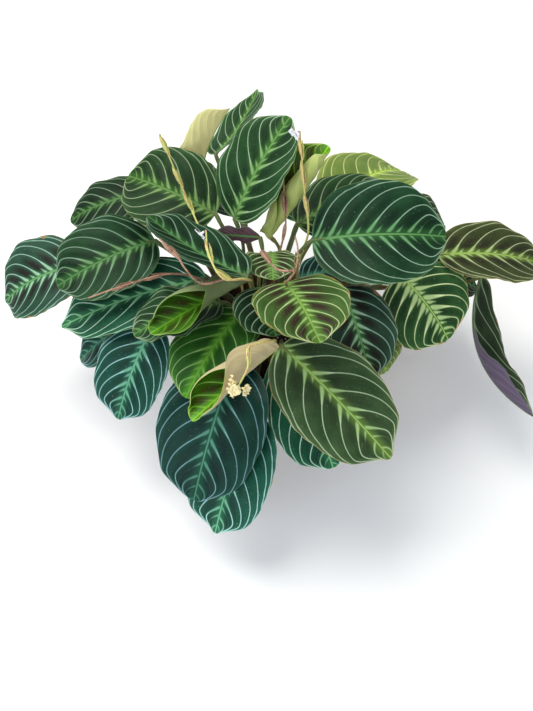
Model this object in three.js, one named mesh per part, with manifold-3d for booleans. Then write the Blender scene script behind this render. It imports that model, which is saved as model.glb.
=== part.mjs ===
// A maranta (prayer plant) in a plain round pot. Every leaf stands on its own stalk in the soil, the
// blades lie over one another as a loose mound that hangs past the rim, and thin flower stalks rise
// between them. Millimetres, +Z up. The origin is the middle of the pot's foot, and -Y is the plant's
// front.
import * as THREE from "three";
import { mergeVertices } from "three/addons/utils/BufferGeometryUtils.js";
import Module from "manifold-3d";

const wasm = await Module();
wasm.setup();

// The pot and its soil.
const potHeight = 120;
const potTopRadius = 68;
const potFootRadius = 48;
const potWall = 3.2;
const potFloor = 4;
const rimHeight = 16;
const rimStep = 2.6;
const drainRadius = 5;
const drainCircle = 26;
const drainCount = 5;
const potSides = 32;
const soilTop = 108;
const soilMound = 3;
const soilGap = 0.4;

// The leaves: blade and stalk.
const bladeThickness = 0.8;
const bladeRows = 7;
const bladeColumns = 4;
const furledColumns = 12;
const furledEndRows = [0.01, 0.983];
const baseFullness = 0.44;
const tipFullness = 0.5;
const endHalfWidth = 1.2;
const tightestFurl = 5;
const furlHolds = 0.15;
const furlOpens = 0.85;
const wavesPerBlade = 2.3;
const stalkFootRadius = 1.9;
const stalkNeckRadius = 1.3;
const ribEndRadius = 0.7;
const ribReach = 0.05;
const stalkSides = 5;
const stalkSteps = 4;
const stalkDepth = 14;
const holeGap = 0.4;
const flowerStalkFootRadius = 1.1;
const flowerStalkTipRadius = 0.7;
const flowerStalkSteps = 7;
const bractSwell = 1;
const bractShare = 0.09;
const bloomGap = 0.3;
const bloomTube = 4;
const petalCount = 5;
const petalLength = 5;
const petalWidth = 4.6;
const petalRows = 2;
const petalColumns = 2;
const rootShare = 0.24;
const rootInset = 7;
const rootSpacing = 6.6;

const leafGreen = new THREE.Color(0x1f4a30);
const youngGreen = new THREE.Color(0x6f8f2c);
const paleUnderside = new THREE.Color(0xb9b878);
const stalkTan = new THREE.Color(0xb98a4a);
const petalWhite = new THREE.Color(0xf4f0f2);
const potWhite = new THREE.Color(0xe9e7e1);
const soilBrown = new THREE.Color(0x2b211a);

// Each leaf: where its stalk meets the blade, where the blade ends, and its width. arch bows the midrib
// up, side bows it to the right, roll turns the blade's right side down, fold is the crease at the
// midrib and cup the curl of each half towards the margin, both in degrees. cupTip is the curl at the
// tip where it differs. A furled leaf gives the left half's curl and the right half's, and the half that
// curls less lies outside. stalk is the angle above level at which the stalk arrives, and root is where
// it leaves the soil if the general rule doesn't suit.
const leaves = [
  // Back, upright behind the crown.
  {
    name: "leaf_back_tip", base: [-46, 143, 184], tip: [-9, 244, 186],
    width: 46, arch: -5, roll: -30, fold: 8, root: [-9, 47],
  },
  {
    name: "leaf_back_horn", base: [-58, 88, 188], tip: [-31, 131, 240],
    width: 66, roll: -70, cup: 62, cupTip: 50, root: [-18, 44],
  },
  {
    name: "leaf_back_tall", base: [-26, 33, 203], tip: [18, 73, 271],
    width: 67, arch: 5, fold: 6, cup: 8, root: [-24, 30],
  },
  {
    name: "leaf_back_sliver", base: [-62, 96, 160], tip: [-80, 168, 152],
    width: 58, arch: 8, root: [-27, 41],
  },
  { name: "leaf_back_pale", base: [56, 86, 171], tip: [127, 158, 154], width: 82, arch: 12, roll: -4 },
  {
    name: "leaf_back_furled", base: [1, 33, 185], tip: [48, 58, 255],
    width: 64, roll: 30, cup: [200, 250], cupTip: [40, 210], arch: 2, wave: 0.3, root: [5, 32],
  },
  // Left.
  {
    name: "leaf_left_upper", base: [-41, 40, 202], tip: [-116, 84, 206],
    width: 74, arch: 8, roll: -26, fold: 5, root: [-35, 32],
  },
  {
    name: "leaf_left_behind", base: [-103, 105, 170], tip: [-176, 94, 148],
    width: 56, arch: 8, roll: -12, cup: -18, root: [-41, 35],
  },
  {
    name: "leaf_left_dark", base: [-15, -32, 203], tip: [-93, 25, 213],
    width: 58, arch: -4, roll: 20, fold: 12, root: [-12, -20],
  },
  { name: "leaf_left_big", base: [-93, 42, 172], tip: [-172, 4, 156], width: 74, arch: 7, roll: -16 },
  { name: "leaf_left_far", base: [-160, 52, 136], tip: [-235, 40, 100], width: 74, arch: 12, roll: -20 },
  { name: "leaf_left_lower", base: [-50, 14, 155], tip: [-172, -12, 124], width: 66, arch: 8, roll: -10 },
  { name: "leaf_left_hidden", base: [-99, -3, 130], tip: [-160, -22, 92], width: 58, arch: 6 },
  {
    name: "leaf_left_wavy", base: [-36, -19, 161], tip: [-105, -45, 151],
    width: 58, arch: 6, wave: 3, roll: 6, root: [-23, -10],
  },
  // Front.
  { name: "leaf_front_left", base: [-92, -24, 140], tip: [-122, -80, 86], width: 64, arch: 7 },
  {
    name: "leaf_front_bright", base: [-18, -24, 158], tip: [-62, -96, 136],
    width: 66, arch: 7, roll: 8, root: [-14, -14],
  },
  {
    name: "leaf_front_big", base: [-24, -63, 142], tip: [-57, -148, 72],
    width: 87, arch: 9, root: [-14, -30],
  },
  {
    name: "leaf_front_lowest", base: [-10, -95, 117], tip: [-41, -162, 45],
    width: 69, arch: 8, stalk: -10, root: [-5, -38],
  },
  {
    name: "leaf_front_furled", base: [8, -81, 178], tip: [-53, -136, 162],
    width: 66, roll: 30, cup: [200, 270], cupTip: [40, 155], arch: 1, wave: 0.3, root: [3, -45],
  },
  {
    name: "leaf_front_right_low", base: [18, -54, 144], tip: [53, -122, 78],
    width: 74, arch: 7, root: [22, -30], roll: 10,
  },
  {
    name: "leaf_front_right", base: [11, -68, 165], tip: [93, -139, 118],
    width: 77, arch: 7, roll: 14, fold: -5, root: [12, -36],
  },
  // Centre.
  {
    name: "leaf_centre_furled", base: [-14, -6, 174], tip: [-88, -62, 172],
    width: 64, roll: 8, cup: [200, 270], cupTip: [20, 150], arch: 2, wave: 0.3, root: [-13, -9],
  },
  { name: "leaf_centre", base: [14, -36, 200], tip: [37, -106, 212], width: 70, arch: 6, root: [21, -10] },
  {
    name: "leaf_centre_small", base: [4, 5, 193], tip: [5, -26, 193],
    width: 44, arch: 3, wave: 2.5, root: [-2, 0],
  },
  { name: "leaf_centre_edge", base: [-5, 18, 197], tip: [-43, 22, 197], width: 20, roll: 80, arch: 0 },
  { name: "leaf_centre_blue", base: [27, -2, 170], tip: [67, 4, 176], width: 40, arch: 2 },
  { name: "leaf_centre_low", base: [-2, -24, 184], tip: [7, -65, 172], width: 58, arch: 3 },
  // Right.
  {
    name: "leaf_right_big", base: [36, 11, 200], tip: [141, 11, 204],
    width: 88, arch: 9, roll: 26, fold: 5,
  },
  {
    name: "leaf_right_upper", base: [25, 47, 185], tip: [102, 95, 189],
    width: 60, arch: 6, roll: 12, fold: -12,
  },
  { name: "leaf_right_rim", base: [108, 78, 166], tip: [157, 82, 154], width: 57, arch: 7, root: [34, 30] },
  { name: "leaf_right_dark", base: [60, -11, 170], tip: [82, -71, 128], width: 62, arch: 6 },
  {
    name: "leaf_right_lower", base: [112, 24, 150], tip: [154, -16, 112],
    width: 88, arch: 7, roll: 12, fold: -4, root: [36, 2],
  },
  {
    name: "leaf_right_under", base: [128, 62, 118], tip: [192, 56, 101],
    width: 56, arch: 6, root: [47, 26],
  },
  {
    name: "leaf_right_far", base: [146, 42, 155], tip: [245, 54, 132],
    width: 66, arch: 8, roll: 8, fold: 5, root: [40, 20],
  },
  {
    name: "leaf_right_hanging", base: [186, 37, 135], tip: [229, -60, 62],
    width: 62, roll: -52, cup: [70, 5], cupTip: [75, 75], arch: -25, root: [53, 16],
  },
  { name: "leaf_right_low", base: [82, -22, 128], tip: [100, -42, 100], width: 44, arch: 5, stalk: -15 },
  // Behind, out of the front view.
  {
    name: "leaf_rear_left", base: [-66, 88, 142], tip: [-122, 160, 86],
    width: 66, arch: 9, root: [-33, 45],
  },
  {
    name: "leaf_rear_middle_left", base: [-20, 96, 150], tip: [-40, 186, 98],
    width: 62, arch: 9, root: [-10, 55],
  },
  { name: "leaf_rear_middle_right", base: [28, 92, 148], tip: [48, 184, 95], width: 66, arch: 9 },
  { name: "leaf_rear_right", base: [82, 80, 146], tip: [140, 150, 92], width: 62, arch: 9 },
  {
    name: "leaf_side_left", base: [-112, 62, 130], tip: [-180, 98, 84],
    width: 58, arch: 8, root: [-50, 24],
  },
  {
    name: "leaf_side_right", base: [122, 78, 116], tip: [190, 100, 74],
    width: 58, arch: 8, root: [40, 36], stalk: -10,
  },
];

// Leaves that aren't the dark green of the rest: still furled and showing their pale backs, or young.
const leafKinds = [
  {
    color: paleUnderside,
    names: ["leaf_back_horn", "leaf_back_furled", "leaf_centre_furled", "leaf_front_furled"],
  },
  {
    color: youngGreen,
    names: ["leaf_back_pale", "leaf_front_bright", "leaf_centre_small", "leaf_left_wavy"],
  },
];

// The flower stalks: each rises from its own root in the soil, or springs from the stalk of the leaf
// named by from. way lists the places that it passes, bracts the shares of its length where a pair of
// bracts swells it, and fork the way of a side stalk. bloom is the way that the flower at its end faces.
const flowerStalks = [
  {
    name: "flower_stalk_left",
    root: [-20, 12],
    way: [[-23, 13, 158], [-52, 24, 199], [-63, 43, 214], [-82, 61, 264]],
    bracts: [0.62, 0.76, 0.9],
  },
  {
    name: "flower_stalk_right",
    root: [24, 16],
    way: [[27, 22, 168], [33, 18, 203], [29, 29, 236], [25, 51, 274]],
    bracts: [0.62, 0.76, 0.88],
    bloom: [-1, -0.8, -0.3],
  },
  {
    name: "flower_stalk_low",
    root: [-42, 8],
    way: [[-46, 4, 157], [-74, -4, 178], [-116, -17, 176], [-140, -25, 172]],
    bracts: [0.58, 0.76],
  },
  {
    name: "flower_stalk_back",
    root: [6, 14],
    way: [[8, 16, 165], [15, 17, 211], [14, 22, 222], [13, 34, 244]],
    bracts: [0.62, 0.8],
  },
  {
    from: "leaf_left_dark",
    way: [[-17, -40, 208], [-32, -50, 219], [-42, -36, 230], [-44, -22, 240]],
    bracts: [0.5, 0.74],
    name: "flower_centre",
    bloom: [-0.9, -0.6, -0.5],
  },
  {
    from: "leaf_left_dark",
    way: [[-30, -32, 200], [-48, -42, 205], [-59, -42, 220], [-66, -35, 229], [-78, -27, 236]],
    bracts: [0.78],
  },
  {
    from: "leaf_centre",
    way: [[15, -44, 209], [21, -41, 217], [23, -26, 226], [21, -20, 232]],
    bracts: [0.62],
    fork: [[8, -36, 214], [-4, -22, 220]],
  },
  {
    from: "leaf_front_furled",
    way: [[5, -84, 189], [-13, -100, 199], [-13, -116, 198], [-20, -130, 192]],
    bracts: [0.6],
    name: "flower_front",
    bloom: [-0.8, -0.5, -0.2],
  },
];

const up = new THREE.Vector3(0, 0, 1);
const vector = (xyz) => new THREE.Vector3(...xyz);
const radians = THREE.MathUtils.degToRad;

function solidOf(geometry) {
  const bare = geometry.index ? geometry.toNonIndexed() : geometry.clone();
  bare.deleteAttribute("normal");
  bare.deleteAttribute("uv");
  const merged = mergeVertices(bare, 1e-4);
  return new wasm.Manifold(
    new wasm.Mesh({
      numProp: 3,
      vertProperties: merged.attributes.position.array,
      triVerts: new Uint32Array(merged.index.array),
    }),
  );
}

function geometryOf(solid) {
  const mesh = solid.getMesh();
  const stride = mesh.numProp;
  const positions = new Float32Array(mesh.numVert * 3);
  for (let i = 0; i < mesh.numVert; i++) {
    positions.set(mesh.vertProperties.subarray(i * stride, i * stride + 3), i * 3);
  }
  const geometry = new THREE.BufferGeometry();
  geometry.setAttribute("position", new THREE.BufferAttribute(positions, 3));
  geometry.setIndex(new THREE.BufferAttribute(mesh.triVerts, 1));
  return geometry;
}

function closedGeometry(points, faces) {
  const geometry = new THREE.BufferGeometry();
  const positions = new Float32Array(points.flatMap((p) => [p.x, p.y, p.z]));
  geometry.setAttribute("position", new THREE.BufferAttribute(positions, 3));
  geometry.setIndex(faces);
  return geometry;
}

// The blade's half width at share s of its length, as a share of the widest: round at the base, drawn in
// at the tip.
function outline(s) {
  const widestAt = baseFullness / (baseFullness + tipFullness);
  const widest = widestAt ** baseFullness * (1 - widestAt) ** tipFullness;
  return (s ** baseFullness * (1 - s) ** tipFullness) / widest;
}

function midribPoint(leaf, s) {
  const bow = 4 * s * (1 - s);
  return leaf.base
    .clone()
    .lerp(leaf.tip, s)
    .addScaledVector(leaf.normal, leaf.arch * bow)
    .addScaledVector(leaf.across, leaf.side * bow);
}

// The frame of the blade's cross-section at share s: its place, its way forward, its right and its upper
// side.
function sectionAt(leaf, s) {
  const step = 0.01;
  const along = midribPoint(leaf, s + step).sub(midribPoint(leaf, s - step)).normalize();
  const across = leaf.across.clone().addScaledVector(along, -leaf.across.dot(along)).normalize();
  return { place: midribPoint(leaf, s), along, across, normal: across.clone().cross(along) };
}

// The curl of one half at share s: side is -1 for the left half. Where the blade is too narrow to curl
// that far, both halves curl less.
function curlAt(leaf, s, side, halfWidth) {
  const opened = THREE.MathUtils.smoothstep(s, furlHolds, furlOpens);
  const curls = leaf.cup.map((cup, half) => radians(THREE.MathUtils.lerp(cup, leaf.cupTip[half], opened)));
  const most = Math.max(Math.abs(curls[0]), Math.abs(curls[1]));
  const eased = Math.min(1, halfWidth / tightestFurl / most);
  return eased * curls[side < 0 ? 0 : 1] || 1e-6;
}

// A point of the blade at share s of its length and t from -1 at the left margin to 1 at the right one,
// lifted off the middle of its thickness by lift.
function bladePoint(leaf, s, t, lift) {
  const { place, across, normal } = sectionAt(leaf, s);
  const half = Math.max(endHalfWidth, (leaf.width / 2) * outline(s));
  const side = Math.sign(t);
  const reach = Math.abs(t);
  const cup = curlAt(leaf, s, side, half);
  const fold = radians(leaf.fold) * Math.min(1, half / 12);
  const turn = fold + cup * reach;
  const out = (half * (Math.sin(turn) - Math.sin(fold))) / cup;
  const rise = (half * (Math.cos(fold) - Math.cos(turn))) / cup;
  const swing = Math.sin(2 * Math.PI * (wavesPerBlade * s + leaf.phase + 0.2 * side));
  const ripple = leaf.wave * reach ** 2 * outline(s) * swing;
  return place
    .addScaledVector(across, side * (out - lift * Math.sin(turn)))
    .addScaledVector(normal, rise + ripple + lift * Math.cos(turn));
}

// The shares of a blade's length that get a row of points, closer at its ends where it widens fast.
function rowShares(rows, furled) {
  const shares = Array.from({ length: rows + 1 }, (_, i) => (1 - Math.cos((Math.PI * i) / rows)) / 2);
  return furled ? [...shares, ...furledEndRows].sort((a, b) => a - b) : shares;
}

// A thin closed blade: both faces are split into triangles alike, and a rim joins them.
function bladeGeometry(leaf, shares, columns) {
  const rows = shares.length - 1;
  const points = [];
  for (const lift of [bladeThickness / 2, -bladeThickness / 2]) {
    for (const s of shares) {
      for (let j = 0; j <= columns; j++) {
        points.push(bladePoint(leaf, s, (2 * j) / columns - 1, lift));
      }
    }
  }
  const top = (i, j) => i * (columns + 1) + j;
  const bottom = (i, j) => (rows + 1) * (columns + 1) + top(i, j);
  const faces = [];
  const rim = (i, j, k, l) => {
    faces.push(top(i, j), top(k, l), bottom(i, j), bottom(i, j), top(k, l), bottom(k, l));
  };
  for (let i = 0; i < rows; i++) {
    for (let j = 0; j < columns; j++) {
      faces.push(top(i, j), top(i, j + 1), top(i + 1, j), top(i, j + 1), top(i + 1, j + 1), top(i + 1, j));
      faces.push(bottom(i, j), bottom(i + 1, j), bottom(i, j + 1));
      faces.push(bottom(i, j + 1), bottom(i + 1, j), bottom(i + 1, j + 1));
    }
    rim(i, 0, i + 1, 0);
    rim(i + 1, columns, i, columns);
  }
  for (let j = 0; j < columns; j++) {
    rim(0, j + 1, 0, j);
    rim(rows, j, rows, j + 1);
  }
  return closedGeometry(points, faces);
}

// A round stalk through the points, with a radius for each, closed at both ends.
function stalkGeometry(path, radii, sides) {
  const points = [];
  const faces = [];
  let across = new THREE.Vector3(1, 0, 0);
  path.forEach((place, i) => {
    const next = path[Math.min(i + 1, path.length - 1)];
    const along = next.clone().sub(path[Math.max(i - 1, 0)]).normalize();
    across = across.addScaledVector(along, -across.dot(along)).normalize();
    const third = along.clone().cross(across);
    for (let k = 0; k < sides; k++) {
      const angle = (2 * Math.PI * k) / sides;
      points.push(
        place
          .clone()
          .addScaledVector(across, radii[i] * Math.cos(angle))
          .addScaledVector(third, radii[i] * Math.sin(angle)),
      );
    }
    across = across.clone();
  });
  const last = path.length - 1;
  for (let i = 0; i < last; i++) {
    for (let k = 0; k < sides; k++) {
      const a = i * sides + k;
      const b = i * sides + ((k + 1) % sides);
      faces.push(a, b, a + sides, b, b + sides, a + sides);
    }
  }
  for (let k = 1; k < sides - 1; k++) {
    faces.push(0, k + 1, k);
    faces.push(last * sides, last * sides + k, last * sides + k + 1);
  }
  return closedGeometry(points, faces);
}

const bothHalves = (curl) => (Array.isArray(curl) ? curl : [curl, curl]);

// Fills in what a leaf's line leaves to the general rule.
function completed(line, index) {
  const phase = (index * 0.37) % 1;
  const usual = { arch: 6, side: 0, roll: 0, fold: 4, cup: 6, wave: 1.5, stalk: 35, phase };
  const leaf = { ...usual, ...line };
  leaf.cup = bothHalves(leaf.cup);
  leaf.cupTip = bothHalves(line.cupTip ?? leaf.cup);
  leaf.base = vector(line.base);
  leaf.tip = vector(line.tip);
  const along = leaf.tip.clone().sub(leaf.base).normalize();
  const level = along.clone().cross(up).normalize();
  const above = level.clone().cross(along);
  const roll = radians(leaf.roll);
  leaf.across = level.clone().multiplyScalar(Math.cos(roll)).addScaledVector(above, -Math.sin(roll));
  leaf.normal = above.multiplyScalar(Math.cos(roll)).addScaledVector(level, Math.sin(roll));
  const reach = Math.hypot(leaf.base.x, leaf.base.y);
  const share = (rootInset + rootShare * reach) / reach;
  leaf.root = line.root
    ? new THREE.Vector3(line.root[0], line.root[1], soilTop)
    : new THREE.Vector3(leaf.base.x * share, leaf.base.y * share, soilTop);
  return leaf;
}

// Roots that would crowd one another move apart, a little at a time.
function spreadRoots(roots) {
  for (let round = 0; round < 200; round++) {
    for (const a of roots) {
      for (const b of roots) {
        const gap = a.distanceTo(b);
        if (a === b || gap >= rootSpacing) continue;
        const push = a.clone().sub(b).normalize().multiplyScalar((rootSpacing - gap) / 4);
        a.add(push);
        b.sub(push);
      }
    }
  }
}

// The stalk's way: straight up out of its hole, over in one curve, and on under the blade as its midrib.
function stalkPath(leaf) {
  const start = leaf.root.clone().addScaledVector(up, 3);
  const reach = leaf.base.distanceTo(start);
  const outward = leaf.base.clone().sub(start).setZ(0).normalize();
  const rise = radians(leaf.stalk);
  const arrival = outward.clone().multiplyScalar(Math.cos(rise)).addScaledVector(up, Math.sin(rise));
  const curve = new THREE.CubicBezierCurve3(
    start,
    start.clone().addScaledVector(up, 0.42 * reach),
    leaf.base.clone().addScaledVector(arrival, -0.36 * reach),
    leaf.base.clone().addScaledVector(leaf.normal, -0.5),
  );
  const ribEnd = bladePoint(leaf, ribReach, 0, 0);
  return [leaf.root.clone().addScaledVector(up, -stalkDepth), ...curve.getPoints(stalkSteps), ribEnd];
}

function leafSolid(leaf) {
  const path = stalkPath(leaf);
  const neck = path.length - 2;
  const radii = path.map((_, i) =>
    i > neck ? ribEndRadius : THREE.MathUtils.lerp(stalkFootRadius, stalkNeckRadius, i / neck),
  );
  const furled = Math.max(...leaf.cup) > 100;
  const shares = rowShares(bladeRows, furled);
  const blade = solidOf(bladeGeometry(leaf, shares, furled ? furledColumns : bladeColumns));
  let solid = blade.add(solidOf(stalkGeometry(path, radii, stalkSides)));
  const joint = path[path.length - 3];
  for (const { way, bracts, fork } of flowerStalks.filter((line) => line.from === leaf.name)) {
    solid = solid.add(flowerStalkSolid([joint, ...way.map(vector)], bracts));
    if (fork) solid = solid.add(flowerStalkSolid([vector(way[1]), ...fork.map(vector)], bracts));
  }
  return solid;
}

// The swelling of a bract at share x of its own length.
function bractSwelling(x) {
  return x > 0 && x < 1 ? bractSwell * Math.sin(Math.PI * x) : 0;
}

// A flower stalk from its first place, with spindle-shaped bracts along it.
function flowerStalkSolid(places, bracts, foot = []) {
  const curve = new THREE.CatmullRomCurve3(places, false, "centripetal");
  const shares = Array.from({ length: flowerStalkSteps + 1 }, (_, i) => i / flowerStalkSteps);
  for (const start of bracts) {
    shares.push(start + bractShare * 0.3, start + bractShare * 0.7);
  }
  shares.sort((a, b) => a - b);
  const path = [...foot];
  const radii = foot.map(() => flowerStalkFootRadius);
  for (const share of shares) {
    path.push(curve.getPointAt(Math.min(1, share)));
    const swelling = Math.max(0, ...bracts.map((start) => bractSwelling((share - start) / bractShare)));
    radii.push(THREE.MathUtils.lerp(flowerStalkFootRadius, flowerStalkTipRadius, share) + swelling);
  }
  return solidOf(stalkGeometry(path, radii, stalkSides));
}

function rootedFlowerStalk(line, root) {
  const foot = root.clone().addScaledVector(up, -stalkDepth);
  const mouth = root.clone().addScaledVector(up, 4);
  return flowerStalkSolid([mouth, ...line.way.map(vector)], line.bracts, [foot]);
}

// A flower: petals spread round the mouth of a short tube that starts just off the end of its stalk.
function bloomSolid({ way, bloom: direction }) {
  const facing = vector(direction).normalize();
  const end = vector(way.at(-1)).addScaledVector(facing, 1.35 * flowerStalkTipRadius + bloomGap);
  const mouth = end.clone().addScaledVector(facing, bloomTube);
  const side = facing.clone().cross(up).normalize();
  const third = facing.clone().cross(side);
  let bloom = solidOf(stalkGeometry([end, mouth], [0.7, 1.3], stalkSides));
  for (let k = 0; k < petalCount; k++) {
    const angle = (2 * Math.PI * k) / petalCount;
    const outward = side.clone().multiplyScalar(Math.cos(angle)).addScaledVector(third, Math.sin(angle));
    const base = mouth.clone().addScaledVector(facing, -1);
    const tip = base.clone().addScaledVector(outward, petalLength).addScaledVector(facing, petalLength / 3);
    const line = { base: base.toArray(), tip: tip.toArray(), width: petalWidth, arch: 0, wave: 0, fold: 0 };
    const petal = completed(line, 0);
    bloom = bloom.add(solidOf(bladeGeometry(petal, rowShares(petalRows, false), petalColumns)));
  }
  return bloom;
}

// The soil fills the pot to a low mound, with a plain hole round the foot of every stalk.
function soilSolid(holes) {
  const slope = (potTopRadius - potFootRadius) / (potHeight - potFloor);
  const bottom = potFloor + soilGap;
  const radiusAt = (z) => potFootRadius - potWall - soilGap + (z - potFloor) * slope;
  const profile = [
    [0, bottom],
    [radiusAt(bottom), bottom],
    [radiusAt(soilTop), soilTop],
    [0, soilTop + soilMound],
  ];
  const mound = new THREE.LatheGeometry(profile.map(([r, z]) => new THREE.Vector2(r, z)), potSides);
  mound.rotateX(Math.PI / 2);
  let soil = solidOf(mound);
  for (const { place, radius } of holes) {
    const wide = radius + holeGap / Math.cos(Math.PI / stalkSides);
    const foot = place.clone().addScaledVector(up, -stalkDepth - holeGap);
    const mouth = place.clone().addScaledVector(up, stalkDepth);
    soil = soil.subtract(solidOf(stalkGeometry([foot, mouth], [wide, wide], stalkSides)));
  }
  return soil;
}

function potSolid() {
  const inner = potTopRadius - potWall;
  const innerFoot = potFootRadius - potWall;
  const profile = [
    [0, 0],
    [potFootRadius - 1.5, 0],
    [potFootRadius, 1.5],
    [potTopRadius - rimStep, potHeight - rimHeight],
    [potTopRadius, potHeight - rimHeight + 1],
    [potTopRadius, potHeight - 1],
    [potTopRadius - 1, potHeight],
    [inner, potHeight],
    [innerFoot, potFloor],
    [0, potFloor],
  ];
  const shell = new THREE.LatheGeometry(profile.map(([r, z]) => new THREE.Vector2(r, z)), potSides);
  shell.rotateX(Math.PI / 2);
  let pot = solidOf(shell);
  for (let k = 0; k < drainCount; k++) {
    const angle = (2 * Math.PI * k) / drainCount;
    const hole = new THREE.CylinderGeometry(drainRadius, drainRadius, 3 * potFloor, 12);
    hole.rotateX(Math.PI / 2);
    hole.translate(drainCircle * Math.cos(angle), drainCircle * Math.sin(angle), potFloor / 2);
    pot = pot.subtract(solidOf(hole));
  }
  return pot;
}

const meshes = new THREE.Group();

function addMesh(name, solid, color, roughness) {
  const material = new THREE.MeshStandardMaterial({ color, roughness, metalness: 0 });
  const mesh = new THREE.Mesh(geometryOf(solid), material);
  mesh.name = name;
  meshes.add(mesh);
}

const plantLeaves = leaves.map(completed);
const rootedStalks = flowerStalks.filter((line) => line.root);
const flowerRoots = rootedStalks.map(({ root }) => vector([...root, soilTop]));
spreadRoots([...plantLeaves.map((leaf) => leaf.root), ...flowerRoots]);

const holes = [
  ...plantLeaves.map((leaf) => ({ place: leaf.root, radius: stalkFootRadius })),
  ...flowerRoots.map((place) => ({ place, radius: flowerStalkFootRadius })),
];

addMesh("pot", potSolid(), potWhite, 0.45);
addMesh("soil", soilSolid(holes), soilBrown, 0.95);
for (const leaf of plantLeaves) {
  const kind = leafKinds.find(({ names }) => names.includes(leaf.name));
  addMesh(leaf.name, leafSolid(leaf), kind ? kind.color : leafGreen, 0.5);
}
rootedStalks.forEach((line, i) => {
  addMesh(line.name, rootedFlowerStalk(line, flowerRoots[i]), stalkTan, 0.6);
});
for (const line of flowerStalks.filter(({ bloom }) => bloom)) {
  addMesh(line.name.replace("_stalk", "") + "_bloom", bloomSolid(line), petalWhite, 0.6);
}

export default meshes;
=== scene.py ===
import math

import bpy
import numpy as np
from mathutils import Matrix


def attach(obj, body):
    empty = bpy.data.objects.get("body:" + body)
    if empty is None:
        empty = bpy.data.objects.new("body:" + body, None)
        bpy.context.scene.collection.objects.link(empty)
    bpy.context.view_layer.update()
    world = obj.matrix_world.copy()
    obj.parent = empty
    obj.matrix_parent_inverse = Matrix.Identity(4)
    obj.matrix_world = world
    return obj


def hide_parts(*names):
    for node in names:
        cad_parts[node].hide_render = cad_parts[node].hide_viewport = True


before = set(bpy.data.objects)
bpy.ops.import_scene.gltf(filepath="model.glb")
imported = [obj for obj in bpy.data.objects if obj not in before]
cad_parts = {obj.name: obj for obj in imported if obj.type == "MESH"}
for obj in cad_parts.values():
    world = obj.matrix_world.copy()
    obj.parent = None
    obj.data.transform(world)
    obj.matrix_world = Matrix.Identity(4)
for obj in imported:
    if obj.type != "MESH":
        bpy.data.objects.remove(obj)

# The looks of a potted maranta. The solids come from the frame, and lengths here are in millimetres until a
# mesh is made. +Z is up, and -Y is the plant's front.
mm = 0.001
upward = np.array((0.0, 0.0, 1.0))
scene = bpy.context.scene
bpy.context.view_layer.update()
print("frame loaded:", len(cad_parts), "nodes")


def linear(hexColour):
    channels = [int(hexColour[i:i + 2], 16) / 255 for i in (1, 3, 5)]
    return [c / 12.92 if c <= 0.04045 else ((c + 0.055) / 1.055) ** 2.4 for c in channels] + [1.0]


# Adds a shader node with its inputs and settings. A node given as an input stands for its first output.
def addNode(tree, kind, inputs={}, **settings):
    node = tree.nodes.new("ShaderNode" + kind)
    for name, value in settings.items():
        setattr(node, name, value)
    for name, value in inputs.items():
        if isinstance(value, bpy.types.Node):
            value = value.outputs[0]
        if isinstance(value, bpy.types.NodeSocket):
            tree.links.new(value, node.inputs[name])
        else:
            node.inputs[name].default_value = value
    return node


def newMaterial(name):
    material = bpy.data.materials.new(name)
    material.use_nodes = True
    material.node_tree.nodes.clear()
    return material, material.node_tree


# Ends a material. relief is the height that embosses it, how strongly it shows, and its depth in millimetres.
def finishMaterial(material, inputs, relief=None):
    tree = material.node_tree
    if relief:
        height, strength, depth = relief
        bump = addNode(tree, "Bump", {"Strength": strength, "Distance": depth * mm, "Height": height})
        inputs = {**inputs, "Normal": bump}
    shader = addNode(tree, "BsdfPrincipled", inputs)
    addNode(tree, "OutputMaterial", {"Surface": shader})
    return material


# The camera stands in front of the plant and looks down at it, as the photograph does.
view = {
    "elevation": 50, "distance": 760, "target": (0, 0, 72), "focalPixels": 850, "longSidePixels": 711,
    "sensor": 36,
}
camera = bpy.data.objects.new("camera", bpy.data.cameras.new("camera"))
camera.data.sensor_width = view["sensor"]
camera.data.lens = view["sensor"] * view["focalPixels"] / view["longSidePixels"]
tilt = math.radians(view["elevation"])
camera.location = [
    mm * (place + view["distance"] * step)
    for place, step in zip(view["target"], (0, -math.cos(tilt), math.sin(tilt)))
]
camera.rotation_euler = (math.pi / 2 - tilt, 0, 0)
scene.collection.objects.link(camera)
scene.camera = camera
print("camera placed")


def unit(vectors):
    return vectors / np.linalg.norm(vectors, axis=-1, keepdims=True)


# A part gathers patches of faces, each with its finish and with the two coordinates that its material reads.
# tint is the whole part's painted light and shade, with some of its own colour, which its finishes multiply
# in.
def newPart(tint=(1, 1, 1)):
    return {"points": [], "faces": [], "finishes": [], "veins": [], "blade": [], "count": 0, "tint": tint}


def addPatch(part, points, faces, finish, veins=None, blade=None):
    nothing = np.zeros((sum(len(face) for face in faces), 3))
    part["points"].append(points)
    part["faces"] += [tuple(part["count"] + k for k in face) for face in faces]
    part["finishes"] += [finish] * len(faces)
    part["veins"].append(nothing if veins is None else veins)
    part["blade"].append(nothing if blade is None else blade)
    part["count"] += len(points)


def bareMesh(name, part):
    mesh = bpy.data.meshes.new(name)
    mesh.from_pydata((np.concatenate(part["points"]) * mm).tolist(), [], part["faces"])
    return mesh


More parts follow.
